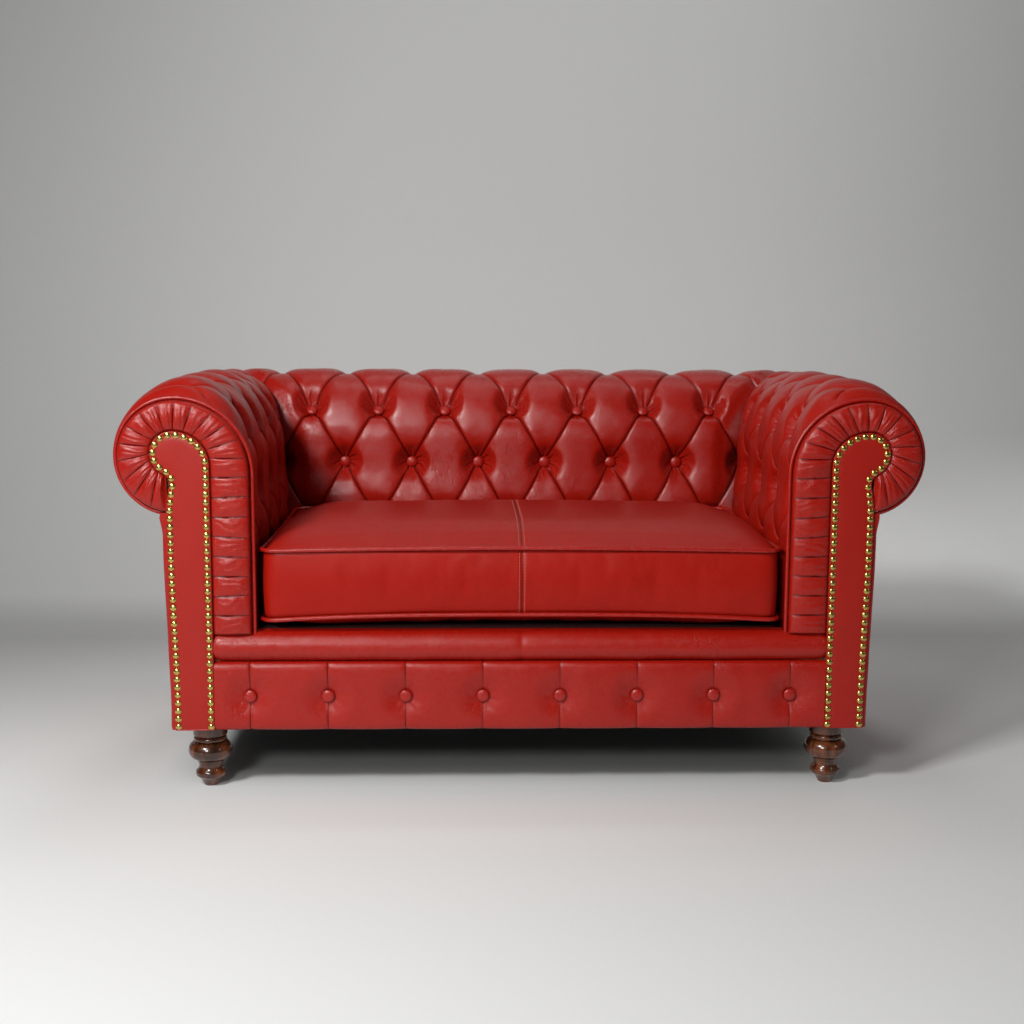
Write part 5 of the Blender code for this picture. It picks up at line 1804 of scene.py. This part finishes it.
    def _cover(self, seams: dict[bool, Array]) -> Mesh:
        """The leather cover, filled by a short cloth simulation.

        Args:
            seams: The two seam lines, which stay where they are sewn.

        Returns:
            The cover's mesh.
        """
        scene = bpy.context.scene
        item = new_object("seat_blank", self._blank(0.50))
        remesh = item.modifiers.new("even_mesh", "REMESH")
        remesh.mode = "VOXEL"
        remesh.voxel_size = SEAT.voxel
        even = evaluated_mesh(item)
        item.modifiers.clear()
        item.data = even
        start = np.array([vert.co for vert in even.vertices])
        seam_points = self._seam_tree(seams)
        sewn = item.vertex_groups.new(name="sewn")
        for number, point in enumerate(start):
            if seam_points.find(point)[2] < SEAT.sewn_within or point[2] < SEAT.low_z + 0.004:
                sewn.add([number], 1.0, "REPLACE")
        cloth = item.modifiers.new("filling", "CLOTH")
        for key, setting in FILLING.items():
            setattr(cloth.settings, key, setting)
        cloth.settings.effector_weights.gravity = 0.0
        cloth.collision_settings.use_collision = False
        cloth.point_cache.frame_start = 1
        cloth.point_cache.frame_end = SEAT.fill_frames
        for number in range(1, SEAT.fill_frames + 1):
            scene.frame_set(number)
        swollen = evaluated_mesh(item)
        moved = np.array([vert.co for vert in swollen.vertices]) - start
        bpy.data.meshes.remove(swollen)
        item.modifiers.clear()
        scene.frame_set(1)
        size = np.linalg.norm(moved, axis=1, keepdims=True)
        LOG.info("cushion swelled by up to %.1f mm", 1000 * size.max())
        moved *= np.minimum(1.0, SEAT.most_swell / np.maximum(size, 1e-9))
        moved = 0.25 * moved + 0.75 * self._smoothed(even, moved, 14)
        moved *= 1 - 0.6 * np.abs(start[:, :1] / SEAT.half) ** 4
        placed = self._kept_inside(start + moved)
        even.vertices.foreach_set("co", placed.astype(np.float32).ravel())
        finer = item.modifiers.new("finer", "SUBSURF")
        finer.levels = finer.render_levels = 1
        cover = evaluated_mesh(item)
        bpy.data.objects.remove(item, do_unlink=True)
        return self._crease_seams(cover, seams)

    def _seam_tree(self, seams: dict[bool, Array]) -> KDTree:
        """Finds the seam point that is nearest to a place."""
        points = np.concatenate(list(seams.values()))
        tree = KDTree(len(points))
        for number, point in enumerate(points):
            tree.insert(point, number)
        tree.balance()
        return tree

    def _smoothed(self, mesh: Mesh, values: Array, rounds: int) -> Array:
        """Averages one vector per point with those of its neighbours, a number of times."""
        ends = np.empty(2 * len(mesh.edges), np.int64)
        mesh.edges.foreach_get("vertices", ends)
        ends = ends.reshape(-1, 2)
        count = np.bincount(ends.ravel(), minlength=len(values))[:, None]
        for _ in range(rounds):
            total = np.zeros_like(values)
            for axis in range(3):
                total[:, axis] += np.bincount(ends[:, 0], values[ends[:, 1], axis], len(values))
                total[:, axis] += np.bincount(ends[:, 1], values[ends[:, 0], axis], len(values))
            values = 0.5 * values + 0.5 * total / count
        return values

    def _kept_inside(self, points: Array) -> Array:
        """Holds the cover off the arms, the deck and the lip roll."""
        side = SEAT.half + SEAT.side_bulge
        low = (-side, SEAT.front_y - SEAT.bulge, SEAT.low_z + SEAT.clearance)
        return np.clip(points, low, (side, SEAT.back_y + SEAT.bulge, math.inf))

    def _crease_seams(self, mesh: Mesh, seams: dict[bool, Array]) -> Mesh:
        """Names the cover and paints shade on the leather beside the seams."""
        mesh.name = "seat_cover"
        seam_points = self._seam_tree(seams)
        near = np.array([seam_points.find(vert.co)[2] for vert in mesh.vertices])
        layer = mesh.attributes.new("crease", "FLOAT", "POINT")
        # Painted shade on the cover beside the seams.
        layer.data.foreach_set("value", (bump(near, SEAT.seam_shade) * 0.55).astype(np.float32))
        close_mesh(mesh)
        return mesh

    def _stitches(self, finishes: Finishes, rows: RepeatTree, cover: Mesh) -> None:
        """Two rows of topstitching beside the middle seam, on the boxing and over the top."""
        bm = bmesh.new()
        bm.from_mesh(cover)
        surface = BVHTree.FromBMesh(bm)
        bm.free()
        heights = np.linspace(SEAT.seam_low + 0.007, SEAT.seam_top - 0.004, 16)
        depths = np.linspace(SEAT.front_y + 0.020, SEAT.back_y - 0.012, 60)
        points, facing, paths = [], [], []
        for x in (-SEAT.stitch_gap, SEAT.stitch_gap):
            ahead = [Vector((x, -0.6, z)) for z in heights]
            above = [Vector((x, y, 0.7)) for y in depths]
            for starts, way, lift in ((ahead, (0, 1, 0), 0.0002), (above, (0, 0, -1), 0.0001)):
                paths.append(len(starts))
                for point in starts:
                    place, out, _, _ = surface.ray_cast(point, Vector(way))
                    points.append(place + out * lift)
                    facing.append(out)
        guide = guide_mesh(points, facing, paths=paths)
        copy = stitch_mesh(SEAT.stitch_length, SEAT.stitch_radius)
        mesh = rows.repeat("seam_stitches", guide, copy, finishes.thread, SEAT.stitch_spacing, 0.04, 9)
        piece(mesh, finishes.thread, body=Body.CUSHION)

    def _zip_teeth(self, finishes: Finishes, rows: RepeatTree) -> None:
        """The zip's teeth over its tape."""
        face = SEAT.back_y + SEAT.bulge + PAD.gap + SEAT.teeth_out
        middle = SEAT.seam_low + SEAT.boxing / 2
        points = [(x, face, middle) for x in np.linspace(SEAT.teeth_left, SEAT.teeth_right, 30)]
        guide = guide_mesh(points, (0.0, 1.0, 0.0), paths=[len(points)])
        bm = bmesh.new()
        bmesh.ops.create_cube(bm, size=1.0, matrix=Matrix.Diagonal((*SEAT.tooth, 1.0)))
        bmesh.ops.bevel(bm, geom=bm.edges[:], offset=0.0002, segments=1, affect="EDGES")
        tooth = bpy.data.meshes.new("tooth")
        bm.to_mesh(tooth)
        bm.free()
        mesh = rows.repeat("zip_teeth", guide, tooth, finishes.zip_brass, SEAT.tooth_spacing, 0.0, 3)
        piece(mesh, finishes.zip_brass, body=Body.CUSHION, sharp=40)


@dataclass(frozen=True)
class DeckPad:
    """The cloth-covered deck under the cushion."""

    rounding: float = 0.006
    rounding_over: float = 0.012
    hollows: Span = (0.12, 0.0012)

    def build(self, finishes: Finishes) -> None:
        """Builds the deck with a slight crown and soft edges."""
        low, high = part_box("deck_pad")
        x = np.linspace(low.x, high.x, 121)
        y = np.linspace(low.y, high.y, 77)
        gx, gy = np.meshgrid(x, y, indexing="ij")
        edge = np.minimum(np.minimum(gx - low.x, high.x - gx), np.minimum(gy - low.y, high.y - gy))
        top = high.z - self.rounding * (1 - np.clip(edge / self.rounding_over, 0, 1) ** 0.5)
        wavelength, sunk = self.hollows
        uneven = Ripple(71, wavelength)(xyz(gx, gy))
        top = top - sunk * (0.5 + 0.5 * uneven / 3) * np.clip(edge / 0.03, 0, 1)
        depth = edged(gy, gy[:, :1], gy[:, -1:])
        rings = xyz(x[:, None], depth, edged(top, low.z, low.z))
        mesh = loft("deck_padding", rings)
        piece(mesh, finishes.deck_cloth, ["deck_pad"])


# Outside panels
@dataclass(frozen=True)
class OutsidePanels:
    """Leather on the outside of the arms and behind the back."""

    tucked: float = 0.004
    fullness: float = 0.0030
    full_over: float = 0.10
    gather: float = 0.0011
    gather_fall: float = 0.035
    gather_width: float = 0.0095
    slack: tuple = ((0.16, 0.0008), (0.05, 0.0002))
    rim: float = 0.0018
    rim_over: float = 0.0025
    top_lean: float = 0.006
    welt: float = 0.0036
    welt_sunk: float = 0.0006

    def build(self, finishes: Finishes) -> None:
        """Builds the three panels and the welts at the rear corners."""
        for side in Side:
            name = f"{side.label}_outside"
            self._panel(finishes, name + "_panel", name, 0, side.value, 81 + side.value)
        self._panel(finishes, "outside_back_panel", "back_outside", 1, 1, 91)
        self._corner_welts(finishes)

    def _panel(self, finishes: Finishes, node: str, name: str, axis: int, sign: int, seed: int) -> None:
        """One panel, slightly full, with gathers under the roll.

        Args:
            finishes: The finishes.
            node: The node that it stands for.
            name: The piece's name.
            axis: 0 if the panel faces along X, 1 along Y.
            sign: Which way it faces.
            seed: Seed of its unevenness.
        """
        low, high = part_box(node)
        other = 1 - axis
        along = np.linspace(low[other], high[other], 190)
        z = np.linspace(low.z, high.z + self.tucked, 90)
        ga, gz = np.meshgrid(along, z, indexing="ij")
        edge = np.minimum(np.minimum(ga - low[other], high[other] - ga), np.minimum(gz - low.z, high.z - gz))
        flat = xyz(ga, gz)
        full = np.clip(edge / self.full_over, 0, 1) ** 0.6 * self.fullness
        wave = np.sin(ga / self.gather_width + 2 * Ripple(seed + 3, 0.09)(flat))
        loose = np.exp(-((high.z - gz) / self.gather_fall)) * wave * self.gather
        loose = loose + unevenness(seed, flat, self.slack)
        rim = np.clip(edge / self.rim_over, 0, 1) ** 0.5 * self.rim - self.rim
        face = (high if sign > 0 else low)[axis] + sign * (full + rim + loose * np.clip(edge / 0.01, 0, 1))
        if axis == 0:
            face = face + sign * (FRONT.lean(gz) + self.top_lean * smooth((gz - high.z + 0.040) / 0.045))
        back = (low if sign > 0 else high)[axis]
        out = edged(face, back, back)
        up = edged(gz, gz[:, :1], gz[:, -1:])
        mesh = loft(name, xyz(along[:, None], out, up) if axis else xyz(out, along[:, None], up))
        piece(mesh, finishes.facing_leather, [node])

    def _corner_welts(self, finishes: Finishes) -> None:
        """Piping down both rear corners."""
        low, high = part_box("outside_back_panel")
        for side in Side:
            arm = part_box(f"{side.label}_outside_panel")
            x = arm[1 if side is Side.RIGHT else 0].x
            z = np.linspace(low.z + 0.002, high.z - 0.002, 60)
            path = xyz(x - side.value * self.welt_sunk, high.y - self.welt_sunk, z)
            mesh = sweep(f"{side.label}_corner_welt", path, self.welt)
            piece(mesh, finishes.piping_leather)


# Legs and hidden parts
@dataclass(frozen=True)
class TurnedLegs:
    """The turned front legs."""

    height: float = 0.121
    plate: float = 0.0325

    def build(self, finishes: Finishes) -> None:
        """Builds both front legs."""
        for side in Side:
            node = f"{side.label}_front_leg"
            low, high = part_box(node)
            mesh = turned(f"{side.label}_turned_leg", self._profile(), 72)
            middle = (low + high) / 2
            mesh.transform(Matrix.Translation((middle.x, middle.y, 0.0)))
            piece(mesh, finishes.walnut, [node], sharp=38)

    def _profile(self) -> list[Span]:
        """(radius, height) points from the plate down to the foot."""
        points = [(0.0, self.height), (self.plate - 0.001, self.height), (self.plate, self.height - 0.001)]
        points += [(self.plate, 0.1000), (self.plate - 0.0012, 0.0988), (0.0300, 0.0978)]
        points += self._bead(0.0870, 0.0965, 0.0285, 0.0315, 12)
        points += self._bead(0.0520, 0.0865, 0.0275, 0.0418, 30)
        points += self._bead(0.0445, 0.0510, 0.0232, 0.0246, 9)
        points += [(0.0228, 0.0430), (0.0224, 0.0400), (0.0226, 0.0370), (0.0232, 0.0345)]
        points += self._bead(0.0175, 0.0305, 0.0255, 0.0290, 14)
        points += [(0.0222, 0.0150), (0.0196, 0.0115), (0.0172, 0.0080), (0.0152, 0.0045), (0.0140, 0.0015)]
        points += [(0.0132, 0.0), (0.0, 0.0)]
        return points

    def _bead(self, low: float, high: float, foot: float, reach: float, count: int) -> list[Span]:
        """Points of a half-round bead from its top to its bottom."""
        points = []
        for turn in np.linspace(0, math.pi, count):
            height = (high + low) / 2 + (high - low) / 2 * math.cos(turn)
            points.append((foot + (reach - foot) * math.sin(turn), height))
        return points


def dress_nodes(finishes: Finishes) -> None:
    """Gives each node that stays its finish."""
    by_slot = {
        "walnut": finishes.walnut,
        "timber": finishes.timber,
        "jute": finishes.jute,
        "spring_steel": finishes.steel,
        "zip_brass": finishes.zip_brass,
        "black_cloth": finishes.base_cloth,
        "leather": finishes.leather,
        "dark_leather": finishes.piping_leather,
        "padded_leather": finishes.leather,
    }
    for part in frame["record"]["subparts"]:
        node = frame["nodes"][part["node"]]
        node.data.materials.clear()
        node.data.materials.append(by_slot[part["material_slot"]])
        node.data.polygons.foreach_set("material_index", [0] * len(node.data.polygons))
    frame["nodes"]["cushion_zip"].data.materials[0] = finishes.deck_cloth


# Studio
@dataclass(frozen=True)
class SoftBox:
    """A rectangular lamp aimed at a point."""

    name: str
    place: Point
    aim: Point
    size: tuple[float, float]
    watts: float
    tint: Colour = (1.0, 1.0, 1.0)
    spread: float = math.pi
    mirrored: bool = True

    def build(self) -> None:
        """Adds the lamp."""
        data = bpy.data.lights.new(self.name, "AREA")
        data.shape = "RECTANGLE"
        data.size, data.size_y = self.size
        data.energy = self.watts
        data.color = self.tint
        data.spread = self.spread
        lamp = new_object(self.name, data)
        lamp.visible_glossy = self.mirrored
        lamp.location = self.place
        way = Vector(self.aim) - Vector(self.place)
        lamp.rotation_euler = way.to_track_quat("-Z", "Y").to_euler()


@dataclass(frozen=True)
class Studio:
    """Floor, backdrop, lamps and camera."""

    boxes: Sequence[SoftBox] = (
        SoftBox("key_box", (-1.7, -2.4, 2.5), (0.0, 0.0, 0.4), (0.6, 0.42), 76.0),
        SoftBox("front_box", (-1.2, -3.2, 1.55), (0.0, 0.0, 0.5), (0.6, 0.42), 36.5),
        SoftBox("fill_box", (1.0, -3.0, 1.3), (-0.3, 0.2, 0.5), (0.6, 0.6), 4.5, mirrored=False),
        SoftBox("overhead_box", (-0.2, 0.0, 2.8), (0.0, 0.1, 0.3), (1.6, 0.5), 4.0),
        SoftBox("right_box", (2.6, -2.0, 1.9), (0.0, 0.0, 0.4), (0.4, 0.8), 3.6),
        SoftBox("wall_box", (0.9, 0.8, 3.2), (0.9, 2.3, 0.9), (3.0, 0.5), 13.5),
        SoftBox("rear_box", (0.0, 2.1, 1.4), (0.0, 0.45, 0.35), (0.6, 0.6), 3.0, spread=1.1, mirrored=False),
    )
    air: Colour = (0.93, 0.95, 1.0)
    air_strength: float = 0.035
    paper_front: float = -5.0
    paper_half: float = 6.0
    paper_top: float = 5.0
    paper_low: float = 0.0002
    wall: float = 2.3
    curve: float = 1.2
    sensor_mm: float = 36.0
    lens_mm: float = 51.65
    camera_at: Point = (-0.109, -3.1515, 0.907)
    turn_deg: float = -1.89
    tilt_deg: float = 7.83
    roll_deg: float = 0.30

    def build(self, finishes: Finishes) -> None:
        """Builds the whole studio."""
        self._paper(finishes)
        for box in self.boxes:
            box.build()
        world = bpy.data.worlds.new("studio_air")
        bpy.context.scene.world = world
        world.use_nodes = True
        air = world.node_tree.nodes["Background"]
        air.inputs["Color"].default_value = (*self.air, 1.0)
        air.inputs["Strength"].default_value = self.air_strength
        self._camera()
        bpy.context.scene.view_settings.view_transform = "Standard"

    def _paper(self, finishes: Finishes) -> None:
        """Paper that runs from the floor up the wall in one curve."""
        foot = self.wall - self.curve
        profile = [(y, 0.0) for y in np.linspace(self.paper_front, foot, 12)]
        for turn in np.linspace(0, math.pi / 2, 20)[1:]:
            profile.append((foot + self.curve * math.sin(turn), self.curve * (1 - math.cos(turn))))
        profile += [(self.wall, z) for z in np.linspace(self.curve, self.paper_top, 6)[1:]]
        points = [(x, y, z - self.paper_low) for x in (-self.paper_half, self.paper_half) for y, z in profile]
        count = len(profile)
        faces = [(i, count + i, count + i + 1, i + 1) for i in range(count - 1)]
        mesh = make_mesh("studio_floor", np.array(points), faces)
        mesh.materials.append(finishes.paper)
        mesh.shade_smooth()
        new_object("studio_floor", mesh)

    def _camera(self) -> None:
        """Camera at the photograph's angle."""
        data = bpy.data.cameras.new("camera")
        data.sensor_width = self.sensor_mm
        data.lens = self.lens_mm
        camera = new_object("camera", data)
        turn = Matrix.Rotation(math.radians(self.turn_deg), 4, "Z")
        tilt = Matrix.Rotation(math.radians(90.0 - self.tilt_deg), 4, "X")
        roll = Matrix.Rotation(math.radians(self.roll_deg), 4, "Z")
        camera.matrix_world = Matrix.Translation(self.camera_at) @ turn @ tilt @ roll
        bpy.context.scene.camera = camera


def main() -> None:
    """Builds the sofa and the studio."""
    logging.basicConfig(level=logging.INFO, format="%(name)s %(message)s", stream=sys.stdout)
    finishes = Finishes()
    Studio().build(finishes)
    dress_nodes(finishes)
    rows = RepeatTree("set_along_paths", along_paths=True)
    ButtonedBack().build(finishes)
    for side in Side:
        ButtonedArm(side).build(finishes)
        ScrollFront(side).build(finishes, rows)
    TuftButtons().build(finishes)
    BorderAndLip().build(finishes)
    DeckPad().build(finishes)
    SeatCushion().build(finishes, rows)
    OutsidePanels().build(finishes)
    TurnedLegs().build(finishes)


if __name__ == "__main__":
    main()
